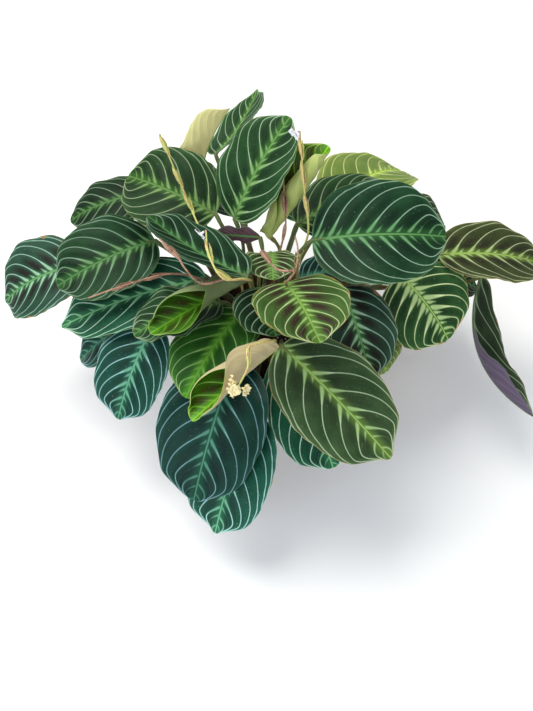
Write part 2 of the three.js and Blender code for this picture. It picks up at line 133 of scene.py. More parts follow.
def makePiece(name, part, materials, node=None):
    mesh = bareMesh(name, part)
    for material in materials:
        mesh.materials.append(material)
    mesh.polygons.foreach_set("material_index", part["finishes"])
    veins, blade = np.concatenate(part["veins"]), np.concatenate(part["blade"])
    # tint carries the part's painted light and shade to its finishes.
    tint = np.tile(np.array(part["tint"], float), (len(veins), 1))
    for coordinate, vectors in (("veins", veins), ("blade", blade), ("tint", tint)):
        layer = mesh.attributes.new(coordinate, "FLOAT_VECTOR", "CORNER")
        layer.data.foreach_set("vector", vectors.astype(np.float32).ravel())
    mesh.shade_smooth()
    mesh.set_sharp_from_angle(angle=math.radians(60))
    piece = bpy.data.objects.new(name, mesh)
    scene.collection.objects.link(piece)
    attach(piece, "root")
    if node:
        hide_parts(node)
    return piece


# A round tube through the points with a radius for each, closed at both ends. Its blade coordinate is the
# share of the way along, the share round it, and its radius.
def addTube(part, path, radii, sides, finish):
    path = np.asarray(path, float)
    radii = np.asarray(radii, float)
    steps = np.linalg.norm(np.diff(path, axis=0), axis=1)
    shares = np.concatenate(([0], np.cumsum(steps))) / steps.sum()
    alongs = unit(np.gradient(path, axis=0))
    across = np.array((1.0, 0.0, 0.0))
    angles = 2 * np.pi * np.arange(sides) / sides
    rings = []
    for place, along, radius in zip(path, alongs, radii):
        across = unit(across - along * (across @ along))
        third = np.cross(along, across)
        rings.append(place + radius * (np.outer(np.cos(angles), across) + np.outer(np.sin(angles), third)))
    faces = []
    blade = []
    for i in range(len(path) - 1):
        for k in range(sides):
            after = (k + 1) % sides
            faces.append((i * sides + k, i * sides + after, (i + 1) * sides + after, (i + 1) * sides + k))
            for ring, turn in ((i, k), (i, k + 1), (i + 1, k + 1), (i + 1, k)):
                blade.append((shares[ring], turn / sides, radii[ring]))
    last = (len(path) - 1) * sides
    faces.append(tuple(range(sides - 1, -1, -1)))
    faces.append(tuple(last + k for k in range(sides)))
    blade += [(0, 0.5, radii[0])] * sides + [(1, 0.5, radii[-1])] * sides
    addPatch(part, np.concatenate(rings), faces, finish, None, np.array(blade))


# The leaves. base and tip are the ends of the blade, and width is its widest. arch bows the midrib up, roll
# turns the right side down, fold creases the blade at the midrib, cup curls each half, cupTip is the curl at
# the tip, wave is the height of the margin's waves, and stalk is the angle at which the stalk arrives. A
# furled leaf has the left and the right half's curl. root is where the stalk leaves the soil, where the
# general rule doesn't give it. point draws the tip out, and look names one of the finishes below. The pair
# of lightness and warmth is painted light and shade, with some of the leaf's own colour: it is multiplied
# into the leaf's colours, lighter where the leaf lies in shade and warmer or cooler with the light on it.
usualLeaf = dict(
    arch=6, roll=0, fold=4, cup=6, wave=1.5, stalk=35, point=0.35, look="deep", paintedLightAndTone=(1.0, 0.0),
)
leaves = {
    "leaf_back_tip": dict(
        base=(-46, 143, 184), tip=(-9, 244, 186), width=46, arch=-5, roll=-30, fold=8, root=(-9, 47),
        point=0.75, paintedLightAndTone=(1.0, 0.12), look="fresh",
    ),
    "leaf_back_horn": dict(
        base=(-58, 88, 188), tip=(-31, 131, 240), width=66, roll=-70, cup=62, cupTip=50, root=(-18, 44),
        point=0.7, paintedLightAndTone=(1.1, 0.0), look="unrolling",
    ),
    "leaf_back_tall": dict(
        base=(-26, 33, 203), tip=(18, 73, 271), width=67, arch=5, fold=6, cup=8, root=(-24, 30),
        paintedLightAndTone=(1.0, 0.12), look="fresh",
    ),
    "leaf_back_sliver": dict(base=(-62, 96, 160), tip=(-80, 168, 152), width=58, arch=8, root=(-27, 41)),
    "leaf_back_pale": dict(
        base=(56, 86, 171), tip=(127, 158, 154), width=82, arch=12, roll=-4, point=0.5, paintedLightAndTone=(1.2, 0.1),
        look="pale",
    ),
    "leaf_back_furled": dict(
        base=(1, 33, 185), tip=(48, 58, 255), width=64, roll=30, cup=(200, 250), cupTip=(40, 210), arch=2,
        wave=0.3, root=(5, 32), paintedLightAndTone=(1.2, 0.08), look="furledGreen",
    ),
    "leaf_left_upper": dict(
        base=(-41, 40, 202), tip=(-116, 84, 206), width=74, arch=8, roll=-26, fold=5, root=(-35, 32),
        paintedLightAndTone=(0.8, 0.2), look="fresh",
    ),
    "leaf_left_behind": dict(
        base=(-103, 105, 170), tip=(-176, 94, 148), width=56, arch=8, roll=-12, cup=-18, root=(-41, 35),
        paintedLightAndTone=(0.7, 0.12),
    ),
    "leaf_left_dark": dict(
        base=(-15, -32, 203), tip=(-93, 25, 213), width=58, arch=-4, roll=20, fold=12, root=(-12, -20),
        paintedLightAndTone=(0.85, 0.0),
    ),
    "leaf_left_big": dict(
        base=(-93, 42, 172), tip=(-172, 4, 156), width=74, arch=7, roll=-16, paintedLightAndTone=(0.75, -0.02),
        look="fresh",
    ),
    "leaf_left_far": dict(
        base=(-160, 52, 136), tip=(-235, 40, 100), width=74, arch=12, roll=-20, point=0.7,
        paintedLightAndTone=(1.15, -0.08), look="brown",
    ),
    "leaf_left_lower": dict(
        base=(-50, 14, 155), tip=(-172, -12, 124), width=66, arch=8, roll=-10, point=0.6,
        paintedLightAndTone=(1.55, 0.25), look="tealSkyReflection",
    ),
    "leaf_left_hidden": dict(base=(-99, -3, 130), tip=(-160, -22, 92), width=58, arch=6, look="tealSkyReflection"),
    "leaf_left_wavy": dict(
        base=(-36, -19, 161), tip=(-105, -45, 151), width=58, arch=6, wave=3, roll=6, root=(-23, -10),
        paintedLightAndTone=(0.85, 0.08), look="fresh",
    ),
    "leaf_front_left": dict(
        base=(-92, -24, 140), tip=(-122, -80, 86), width=64, arch=7, point=0.55, paintedLightAndTone=(1.15, 0.03),
        look="tealSkyReflection",
    ),
    "leaf_front_bright": dict(
        base=(-18, -24, 158), tip=(-62, -96, 136), width=66, arch=7, roll=8, root=(-14, -14),
        paintedLightAndTone=(0.8, 0.08), look="bright",
    ),
    "leaf_front_big": dict(
        base=(-24, -63, 142), tip=(-57, -148, 72), width=87, arch=9, root=(-14, -30), paintedLightAndTone=(0.72, -0.05),
        look="tealSkyReflection",
    ),
    "leaf_front_lowest": dict(
        base=(-10, -95, 117), tip=(-41, -162, 45), width=69, arch=8, stalk=-10, root=(-5, -38), point=0.6,
        paintedLightAndTone=(1.7, 0.1), look="tealSkyReflection",
    ),
    "leaf_front_furled": dict(
        base=(8, -81, 178), tip=(-53, -136, 162), width=66, roll=30, cup=(200, 270), cupTip=(40, 155),
        arch=1, wave=0.3, root=(3, -45), paintedLightAndTone=(1.15, 0.0), look="furledBeige",
    ),
    "leaf_front_right_low": dict(
        base=(18, -54, 144), tip=(53, -122, 78), width=74, arch=7, root=(22, -30), roll=10,
        paintedLightAndTone=(2.0, 0.25), look="tealSkyReflection",
    ),
    "leaf_front_right": dict(
        base=(11, -68, 165), tip=(93, -139, 118), width=77, arch=7, roll=14, fold=-5, root=(12, -36),
        point=0.6, paintedLightAndTone=(1.35, -0.08), look="olive",
    ),
    "leaf_centre_furled": dict(
        base=(-14, -6, 174), tip=(-88, -62, 172), width=64, roll=8, cup=(200, 270), cupTip=(20, 150),
        arch=2, wave=0.3, root=(-13, -9), paintedLightAndTone=(0.8, -0.1), look="furled",
    ),
    "leaf_centre": dict(
        base=(14, -36, 200), tip=(37, -106, 212), width=70, arch=6, root=(21, -10), paintedLightAndTone=(1.2, 0.06),
        look="patched",
    ),
    "leaf_centre_small": dict(
        base=(4, 5, 193), tip=(5, -26, 193), width=44, arch=3, wave=2.5, root=(-2, 0), look="patched",
    ),
    "leaf_centre_edge": dict(
        base=(-5, 18, 197), tip=(-43, 22, 197), width=20, roll=80, arch=0, look="fresh",
    ),
    "leaf_centre_blue": dict(base=(27, -2, 170), tip=(67, 4, 176), width=40, arch=2, look="tealSkyReflection"),
    "leaf_centre_low": dict(base=(-2, -24, 184), tip=(7, -65, 172), width=58, arch=3, paintedLightAndTone=(0.8, 0.1)),
    "leaf_right_big": dict(base=(36, 11, 200), tip=(141, 11, 204), width=88, arch=9, roll=26, fold=5),
    "leaf_right_upper": dict(
        base=(25, 47, 185), tip=(102, 95, 189), width=60, arch=6, roll=12, fold=-12, paintedLightAndTone=(0.8, 0.16),
        look="fresh",
    ),
    "leaf_right_rim": dict(
        base=(108, 78, 166), tip=(157, 82, 154), width=57, arch=7, root=(34, 30), look="right",
    ),
    "leaf_right_dark": dict(
        base=(60, -11, 170), tip=(82, -71, 128), width=62, arch=6, paintedLightAndTone=(0.95, -0.03), look="brown",
    ),
    "leaf_right_lower": dict(
        base=(112, 24, 150), tip=(154, -16, 112), width=88, arch=7, roll=12, fold=-4, root=(36, 2),
        paintedLightAndTone=(1.75, 0.25), look="feathered",
    ),
    "leaf_right_under": dict(base=(128, 62, 118), tip=(192, 56, 101), width=56, arch=6, root=(47, 26)),
    "leaf_right_far": dict(
        base=(146, 42, 155), tip=(245, 54, 132), width=66, arch=8, roll=8, fold=5, root=(40, 20),
        paintedLightAndTone=(1.25, 0.0), look="tanned",
    ),
    "leaf_right_hanging": dict(
        base=(186, 37, 135), tip=(229, -60, 62), width=62, roll=-52, cup=(70, 5), cupTip=(75, 75),
        arch=-25, root=(53, 16), paintedLightAndTone=(1.1, 0.0), look="hanging",
    ),
    "leaf_right_low": dict(
        base=(82, -22, 128), tip=(100, -42, 100), width=44, arch=5, stalk=-15, look="pale",
    ),
    "leaf_rear_left": dict(base=(-66, 88, 142), tip=(-122, 160, 86), width=66, arch=9, root=(-33, 45)),
    "leaf_rear_middle_left": dict(
        base=(-20, 96, 150), tip=(-40, 186, 98), width=62, arch=9, root=(-10, 55),
    ),
    "leaf_rear_middle_right": dict(base=(28, 92, 148), tip=(48, 184, 95), width=66, arch=9, look="fresh"),
    "leaf_rear_right": dict(base=(82, 80, 146), tip=(140, 150, 92), width=62, arch=9),
    "leaf_side_left": dict(base=(-112, 62, 130), tip=(-180, 98, 84), width=58, arch=8, root=(-50, 24)),
    "leaf_side_right": dict(
        base=(122, 78, 116), tip=(190, 100, 74), width=58, arch=8, root=(40, 36), stalk=-10,
    ),
}

# The flower stalks. Each rises from its root in the soil, or springs from the stalk of the leaf named by
# leaf. way lists the places that it passes, and bracts the shares of its length where bracts clasp it. One
# with dry above a half has the dry finish.
flowerStalks = [
    dict(
        name="flower_stalk_left", root=(-20, 12), bracts=(0.62, 0.76, 0.9), dry=0.35,
        way=((-23, 13, 158), (-52, 24, 199), (-63, 43, 214), (-82, 61, 264)),
    ),
    dict(
        name="flower_stalk_right", root=(24, 16), bracts=(0.62, 0.76, 0.88), dry=0.2,
        way=((27, 22, 168), (33, 18, 203), (29, 29, 236), (25, 51, 274)), bloom=(-1, -0.8, -0.3),
        bloomName="flower_right_bloom",
    ),
    dict(
        name="flower_stalk_low", root=(-42, 8), bracts=(0.58, 0.76), dry=1.0,
        way=((-46, 4, 157), (-74, -4, 178), (-116, -17, 176), (-140, -25, 172)),
    ),
    dict(
        name="flower_stalk_back", root=(6, 14), bracts=(0.62, 0.8), dry=0.7,
        way=((8, 16, 165), (15, 17, 211), (14, 22, 222), (13, 34, 244)),
    ),
    dict(
        leaf="leaf_left_dark", bracts=(0.5, 0.74), dry=0.3,
        way=((-17, -40, 208), (-32, -50, 219), (-42, -36, 230), (-44, -22, 240)), bloom=(-0.9, -0.6, -0.5),
        bloomName="flower_centre_bloom",
    ),
    dict(
        leaf="leaf_left_dark", bracts=(0.78,), dry=1.0,
        way=((-30, -32, 200), (-48, -42, 205), (-59, -42, 220), (-66, -35, 229), (-78, -27, 236)),
    ),
    dict(
        leaf="leaf_centre", bracts=(0.62,), dry=1.0,
        way=((15, -44, 209), (21, -41, 217), (23, -26, 226), (21, -20, 232)),
        fork=((8, -36, 214), (-4, -22, 220)),
    ),
    dict(
        leaf="leaf_front_furled", bracts=(0.6,), dry=0.1,
        way=((5, -84, 189), (-13, -100, 199), (-13, -116, 198), (-20, -130, 192)),
        bloom=(-0.8, -0.5, -0.2), bloomName="flower_front_bloom",
    ),
]

# How the stalks stand in the soil, and how fine the blades are.
planting = {"soilTop": 108, "depth": 14, "inset": 7, "share": 0.24, "spacing": 6.6}
bladeBuild = {
    "rows": 72, "columns": 40, "thickness": 0.5, "baseFullness": 0.44, "tipFullness": 0.5,
    "baseHalf": 1.2, "tipHalf": 0.3, "tightestFurl": 5, "furlHolds": 0.15, "furlOpens": 0.85,
    "waves": 2.3, "quilt": 0.7, "groove": 0.5, "ribHeight": 1.0, "tapersFrom": 0.84, "marginSway": 0.5,
    "marginWaves": 3.7, "usualWidth": 80, "sideVeins": 6.6,
}


def bothHalves(curl):
    return curl if isinstance(curl, tuple) else (curl, curl)


def eased(values, low, high):
    share = np.clip((values - low) / (high - low), 0, 1)
    return share * share * (3 - 2 * share)


def completed(name, index):
    leaf = {**usualLeaf, **leaves[name]}
    leaf["phase"] = index * 0.37 % 1
    leaf["index"] = index
    leaf["base"] = np.array(leaf["base"], float)
    leaf["tip"] = np.array(leaf["tip"], float)
    along = unit(leaf["tip"] - leaf["base"])
    level = unit(np.cross(along, upward))
    above = np.cross(level, along)
    roll = math.radians(leaf["roll"])
    leaf["across"] = level * math.cos(roll) - above * math.sin(roll)
    leaf["normal"] = above * math.cos(roll) + level * math.sin(roll)
    reach = math.hypot(*leaf["base"][:2])
    share = (planting["inset"] + planting["share"] * reach) / reach
    x, y = leaf.get("root", leaf["base"][:2] * share)
    leaf["root"] = [float(x), float(y), planting["soilTop"]]
    chance = np.random.default_rng(index)
    leaf["veins"] = bladeBuild["sideVeins"] + chance.uniform(-0.3, 0.5)
    leaf["veinShift"] = (chance.uniform(-0.1, 0.1), chance.uniform(0.3, 0.6))
    return leaf


# Roots that would crowd one another move apart, as they do in the solids.
def spreadRoots(roots):
    for turn in range(200):
        moved = False
        for a in roots:
            for b in roots:
                if a is b:
                    continue
                gap = math.dist(a, b)
                if gap < planting["spacing"]:
                    push = [(p - q) / gap * (planting["spacing"] - gap) / 4 for p, q in zip(a, b)]
                    for k in range(3):
                        a[k] += push[k]
                        b[k] -= push[k]
                    moved = True
        if not moved:
            break


def outline(s):
    base, tip = bladeBuild["baseFullness"], bladeBuild["tipFullness"]
    widestAt = base / (base + tip)
    return s**base * (1 - s) ** tip / (widestAt**base * (1 - widestAt) ** tip)


def halfWidths(leaf, s):
    least = bladeBuild["baseHalf"] + (bladeBuild["tipHalf"] - bladeBuild["baseHalf"]) * s
    taper = 1 - leaf["point"] * eased(s, bladeBuild["tapersFrom"], 1)
    return np.maximum(least, leaf["width"] / 2 * outline(s) * taper)


def midrib(leaf, s):
    straight = leaf["base"] + np.outer(s, leaf["tip"] - leaf["base"])
    return straight + np.outer(4 * s * (1 - s), leaf["normal"] * leaf["arch"])


# Points of the blade: s is the share of its length, t runs from -1 at the left margin to 1 at the right one,
# and lift is the height above the middle of its thickness.
def bladePoints(leaf, s, t, lift, relief):
    along = unit(midrib(leaf, s + 0.01) - midrib(leaf, s - 0.01))
    across = unit(leaf["across"] - along * (along @ leaf["across"])[:, None])
    normal = np.cross(across, along)
    half = halfWidths(leaf, s)[:, None]
    first, last = (np.radians(bothHalves(curl)) for curl in (leaf["cup"], leaf.get("cupTip", leaf["cup"])))
    curls = first + (last - first) * eased(s, bladeBuild["furlHolds"], bladeBuild["furlOpens"])[:, None]
    most = np.maximum(1e-6, np.abs(curls).max(axis=1, keepdims=True))
    curls = curls * np.minimum(1, half / bladeBuild["tightestFurl"] / most)
    cup = np.where(t < 0, curls[:, :1], curls[:, 1:])
    cup = np.where(np.abs(cup) < 1e-6, 1e-6, cup)
    fold = math.radians(leaf["fold"]) * np.minimum(1, half / 12)
    side, reach = np.sign(t), np.abs(t)
    turn = fold + cup * reach
    out = half * (np.sin(turn) - np.sin(fold)) / cup
    rise = half * (np.cos(fold) - np.cos(turn)) / cup
    swing = np.sin(2 * np.pi * (bladeBuild["waves"] * s[:, None] + leaf["phase"] + 0.2 * side))
    # Close to the margin the blade also sways, sideways and, a little behind that, up and down.
    sway = 2 * np.pi * (bladeBuild["marginWaves"] * s[:, None] + 3 * leaf["phase"] + 0.3 * side)
    size = leaf["width"] / bladeBuild["usualWidth"] * bladeBuild["marginSway"] * min(1, leaf["wave"])
    sway = (np.sin(sway) + 0.6 * np.sin(2.3 * sway + 1)) * reach**6 * outline(s)[:, None] * size
    out = out + 0.7 * sway
    ripple = leaf["wave"] * reach**2 * outline(s)[:, None] * swing
    ripple = ripple + np.roll(sway, 3, axis=0)
    lift = lift + relief
    sideways = side * (out - lift * np.sin(turn))
    height = rise + ripple + lift * np.cos(turn)
    return (
        midrib(leaf, s)[:, None]
        + sideways[..., None] * across[:, None]
        + height[..., None] * normal[:, None]
    )


# Where a side vein that leaves the midrib at share start of the length passes share reach of the half width:
# it sets out slantwise, bends towards the tip and runs on beside the margin.
def veinPlace(start, reach):
    end = start + (1 - start) * np.minimum(1, 0.5 + 0.8 * start)
    lead = np.clip(0.3 + 0.9 * start, 0.15, 0.95)
    bend = 4 + 4.5 * np.exp(-9 * np.maximum(0, start))
    return start + (end - start) * (lead * reach + (1 - lead) * reach**bend)


def veinStart(s, reach):
    low = np.full(reach.shape, -0.5)
    high = np.ones(reach.shape)
    for halving in range(30):
        middle = (low + high) / 2
        past = veinPlace(middle, reach) > s
        high = np.where(past, middle, high)
        low = np.where(past, low, middle)
    return (low + high) / 2


# The coordinates that the leaf's finish reads. veins is the count of side veins from the base, the distance
# out along the vein as a share of the half width, and the millimetres from one vein to the next. blade is
# the share of the length, and the millimetres to the midrib and to the margin.
def veinCoordinates(leaf, s, t):
    length = np.linalg.norm(leaf["tip"] - leaf["base"])
    half = halfWidths(leaf, s)[:, None]
    reach = np.abs(t)
    start = veinStart(s[:, None] + 0 * reach, reach + 0 * s[:, None])
    count = np.sign(start) * np.abs(start) ** 0.88 * leaf["veins"]
    byLength = np.gradient(count, s, axis=0)
    byReach = np.gradient(count, reach[0] if reach.ndim > 1 else reach, axis=1)
    slope = np.gradient(half[:, 0], s)[:, None]
    acrossPart = byReach / half
    alongPart = (byLength - byReach * reach * slope / half) / length
    spacing = 1 / np.maximum(0.02, np.hypot(acrossPart, alongPart))
    fromRib = reach * half
    outward = np.hypot(fromRib, (s[:, None] - np.maximum(0, start)) * length) / (leaf["width"] / 2)
    fromEdge = np.minimum(half - fromRib, (1 - s[:, None]) * length + 0.3)
    return count, outward, spacing, s[:, None] + 0 * reach, fromRib, fromEdge


# A blade: its upper face is finish 0, and its underside and rim are finish 1, unless one finish is given for
# all. The lamina swells between the side veins, and the midrib stands out below.
def addBlade(part, leaf, rows, columns, thickness, finish=None):
    upper, lower = (0, 1) if finish is None else (finish, finish)
    # Rows stand closer at both ends, and columns at the midrib.
    steps = np.arange(rows + 1) / rows
    s = 0.35 * steps + 0.65 * (1 - np.cos(np.pi * steps)) / 2
    spread = 2 * np.arange(columns + 1) / columns - 1
    t = (np.sign(spread) * np.abs(spread) ** 1.15)[None, :]
    count, outward, spacing, share, fromRib, fromEdge = veinCoordinates(leaf, s, t)
    sides = {-1: leaf["veinShift"][0], 1: leaf["veinShift"][1]}
    counts = {side: np.maximum(count + shift, -0.5) for side, shift in sides.items()}
    own = np.where(t < 0, counts[-1], counts[1])
    swell = np.sin(np.pi * own) ** 2 * (own > -0.5)
    swell = swell * eased(fromRib, 0.5, 9) * eased(fromEdge, 0, 7)
    size = leaf["width"] / bladeBuild["usualWidth"]
    quilt = bladeBuild["quilt"] * size * (swell - 0.4 * eased(fromEdge, 0, 7))
    groove = -bladeBuild["groove"] * size * np.exp(-(fromRib / 1.1) ** 2)
    rib = bladeBuild["ribHeight"] * size * (1.1 - share) * np.exp(-(fromRib / 1.0) ** 2)
    thin = thickness / 2 * (0.35 + 0.65 * eased(fromEdge, 0, 1.5))
    top = bladePoints(leaf, s, t, thin, quilt + groove)
    bottom = bladePoints(leaf, s, t, -thin, quilt + groove - rib * eased(fromEdge, 0, 3))
    points = np.concatenate((top.reshape(-1, 3), bottom.reshape(-1, 3)))
    wide = columns + 1
    under = (rows + 1) * wide
    i, j = (grid.ravel() for grid in np.meshgrid(np.arange(rows), np.arange(columns), indexing="ij"))
    corner = i * wide + j
    quads = np.stack((corner, corner + 1, corner + wide + 1, corner + wide), 1)
    right = (j >= columns / 2)[:, None]
    seed = 40.0 * leaf["index"]
    ownCount = np.where(right, (counts[1] + seed + 20).ravel()[quads], (counts[-1] + seed).ravel()[quads])
    veins = np.stack((ownCount, outward.ravel()[quads], spacing.ravel()[quads]), -1)
    blade = np.stack((share.ravel()[quads], fromRib.ravel()[quads], fromEdge.ravel()[quads]), -1)
    addPatch(part, points, quads.tolist(), upper, veins.reshape(-1, 3), blade.reshape(-1, 3))
    # The points are in the part by now, so the underside and the rim add faces alone.
    addPatch(
        part, points[:0], (quads[:, ::-1] + under - len(points)).tolist(), lower,
        veins[:, ::-1].reshape(-1, 3), blade[:, ::-1].reshape(-1, 3),
    )
    border = np.concatenate((
        np.arange(wide - 1), wide * np.arange(1, rows + 1) - 1,
        under - 1 - np.arange(wide - 1), wide * np.arange(rows, 0, -1),
    ))
    after = np.roll(border, -1)
    rim = np.stack((border, border + under, after + under, after), 1) - len(points)
    addPatch(part, points[:0], rim.tolist(), lower)


def bezier(points, count):
    x = np.linspace(0, 1, count)[:, None]
    a, b, c, d = (np.asarray(point, float) for point in points)
    return a * (1 - x) ** 3 + 3 * b * x * (1 - x) ** 2 + 3 * c * x**2 * (1 - x) + d * x**3


# The stalk of a leaf: straight up out of the soil, over in one curve and into the midrib. A sheath clasps its
# lower part, and a swollen joint holds the blade.
stalkBuild = {
    "foot": 1.9, "neck": 1.3, "ribEnd": 0.5, "sides": 12, "steps": 34, "sheath": 0.45, "sheathSwell": 0.7,
    "joint": 9, "jointSwell": 0.55, "rise": 0.42, "arrive": 0.36,
}


def stalkCurve(leaf):
    start = np.array(leaf["root"]) + 3 * upward
    reach = np.linalg.norm(leaf["base"] - start)
    outward = leaf["base"] - start
    outward[2] = 0
    rise = math.radians(leaf["stalk"])
    arrival = unit(outward) * math.cos(rise) + upward * math.sin(rise)
    end = leaf["base"] - 0.5 * leaf["normal"]
    return (
        start, start + stalkBuild["rise"] * reach * upward,
        leaf["base"] - stalkBuild["arrive"] * reach * arrival, end,
    )


def addStalk(part, leaf):
    build = stalkBuild
    curve = bezier(stalkCurve(leaf), build["steps"])
    s = np.array((0.02, 0.05, 0.1))
    ribs = bladePoints(leaf, s, np.zeros((1, 1)), np.full((3, 1), -0.5), 0)[:, 0]
    path = np.concatenate(([np.array(leaf["root"]) - planting["depth"] * upward], curve, ribs))
    steps = np.linalg.norm(np.diff(curve, axis=0), axis=1)
    gone = np.concatenate(([0], np.cumsum(steps)))
    share = gone / gone[-1]
    radii = build["foot"] + (build["neck"] - build["foot"]) * share
    radii = radii + build["sheathSwell"] * (1 - eased(share, build["sheath"] - 0.06, build["sheath"] + 0.02))
    toEnd = gone[-1] - gone
    radii = radii + build["jointSwell"] * (1 - eased(toEnd, build["joint"] - 3, build["joint"] + 1))
    radii = np.concatenate(([build["foot"]], radii, (1.2, 0.9, build["ribEnd"])))
    radii[1] = build["foot"]
    addTube(part, path, radii, build["sides"], 2)


# A smooth curve through the places, with as many points as asked, spaced alike.
def smoothCurve(places, count):
    places = np.asarray(places, float)
    ends = 2 * places[0] - places[1], 2 * places[-1] - places[-2]
    knots = np.concatenate(([ends[0]], places, [ends[1]]))
    points = []
    for a, b, c, d in zip(knots, knots[1:], knots[2:], knots[3:]):
        ab, bc, cd = (math.sqrt(math.dist(p, q)) for p, q in ((a, b), (b, c), (c, d)))
        leave = ((b - a) / ab - (c - a) / (ab + bc) + (c - b) / bc) * bc
        arrive = ((c - b) / bc - (d - b) / (bc + cd) + (d - c) / cd) * bc
        for x in np.arange(24) / 24:
            points.append(
                b * (2 * x**3 - 3 * x**2 + 1) + leave * (x**3 - 2 * x**2 + x)
                + c * (3 * x**2 - 2 * x**3) + arrive * (x**3 - x**2)
            )
    points = np.array(points + [places[-1]])
    gone = np.concatenate(([0], np.cumsum(np.linalg.norm(np.diff(points, axis=0), axis=1))))
    at = np.linspace(0, gone[-1], count)
    return np.stack([np.interp(at, gone, points[:, k]) for k in range(3)], 1)


# A flower stalk, with pointed bracts that clasp it in pairs. On a leaf, finish 3 is the fresh stalk and 4 the
# dry one, and on a stalk of its own they are 0 and 1.
flowerBuild = {
    "foot": 1.1, "tip": 0.6, "sides": 8, "steps": 48, "bractLength": 15, "bractWidth": 3.1, "bractRows": 12,
    "bractColumns": 8, "bractThickness": 0.25,
}
bractCurl = {"cup": 95, "cupTip": 50, "arch": -0.6, "wave": 0.2, "fold": 0}


def plainLeaf(base, tip, normal, width, **shape):
    along = unit(tip - base)
    across = unit(np.cross(along, normal))
    return {
        **usualLeaf, "base": base, "tip": tip, "across": across, "normal": np.cross(across, along),
        "width": width, "phase": 0, "index": 0, "veins": 3, "veinShift": (0, 0), "cupTip": 0, **shape,
    }


def addFlowerStalk(part, places, bracts, finish, foot=()):
    build = flowerBuild
    curve = smoothCurve(places, build["steps"])
    share = np.linspace(0, 1, build["steps"])
    radii = build["foot"] + (build["tip"] - build["foot"]) * share
    path = np.concatenate([np.array(foot).reshape(-1, 3), curve])
    radii = np.concatenate((np.full(len(foot), build["foot"]), radii))
    addTube(part, path, radii, build["sides"], finish)
    length = np.linalg.norm(np.diff(curve, axis=0), axis=1).sum()
    for start in bracts:
        for turn, shift in ((0, 0.0), (1, 0.025)):
            at = min(0.97, start + shift)
            k = int(at * (build["steps"] - 1))
            along = unit(curve[min(k + 2, build["steps"] - 1)] - curve[k - 1])
            side = unit(np.cross(along, upward + 0.3 * along[::-1])) * (1 - 2 * turn)
            ahead = min(1, at + build["bractLength"] / length)
            base = curve[k] + 0.5 * side
            tip = curve[int(ahead * (build["steps"] - 1))] + (1.9 - 0.4 * turn) * side
            bract = plainLeaf(base, tip, -side, build["bractWidth"], **bractCurl)
            addBlade(part, bract, build["bractRows"], build["bractColumns"], build["bractThickness"], finish)


# A flower: petals round the mouth of a short tube, which narrow and curl when they wither.
bloomBuild = {
    "petals": 5, "length": 6.0, "width": 5.6, "thickness": 0.22, "tube": 4, "gap": 1.2, "rows": 14,
    "columns": 10,
}
freshCurl = {"cup": 25, "cupTip": -25, "wave": 0.5}
witheredCurl = {"cup": 60, "cupTip": 110, "wave": 1.2}
# The withered ones hang as a bunch: these stand off from the first and face their own ways.
witheredBunch = (
    ((1, 2, 3), (-0.9, 0.1, 0.3)), ((-2, -1, 3), (0.1, -0.9, 0.4)), ((2, 0, 1), (0.8, -0.6, 0.2)),
)


def addBloom(part, place, facing, withered):
    build = bloomBuild
    facing = unit(np.array(facing, float))
    end = place + build["gap"] * facing
    mouth = end + build["tube"] * facing
    side = unit(np.cross(facing, upward))
    third = np.cross(facing, side)
    addTube(part, (end, (end + mouth) / 2, mouth), (0.7, 0.9, 1.3), 10, 1)
    chance = np.random.default_rng(5)
    for k in range(build["petals"]):
        angle = 2 * math.pi * (k + 0.12 * chance.uniform(-1, 1)) / build["petals"]
        outward = side * math.cos(angle) + third * math.sin(angle)
        base = mouth - facing
        reach = build["length"] * chance.uniform(0.85, 1.1) * (0.8 if withered else 1)
        tip = base + outward * reach + facing * reach * (0.3 - 0.25 * (k % 2))
        curl = witheredCurl if withered else freshCurl
        petal = plainLeaf(base, tip, facing, build["width"], arch=0.5, fold=0, phase=0.3 * k, **curl)
        addBlade(part, petal, build["rows"], build["columns"], build["thickness"], 0)


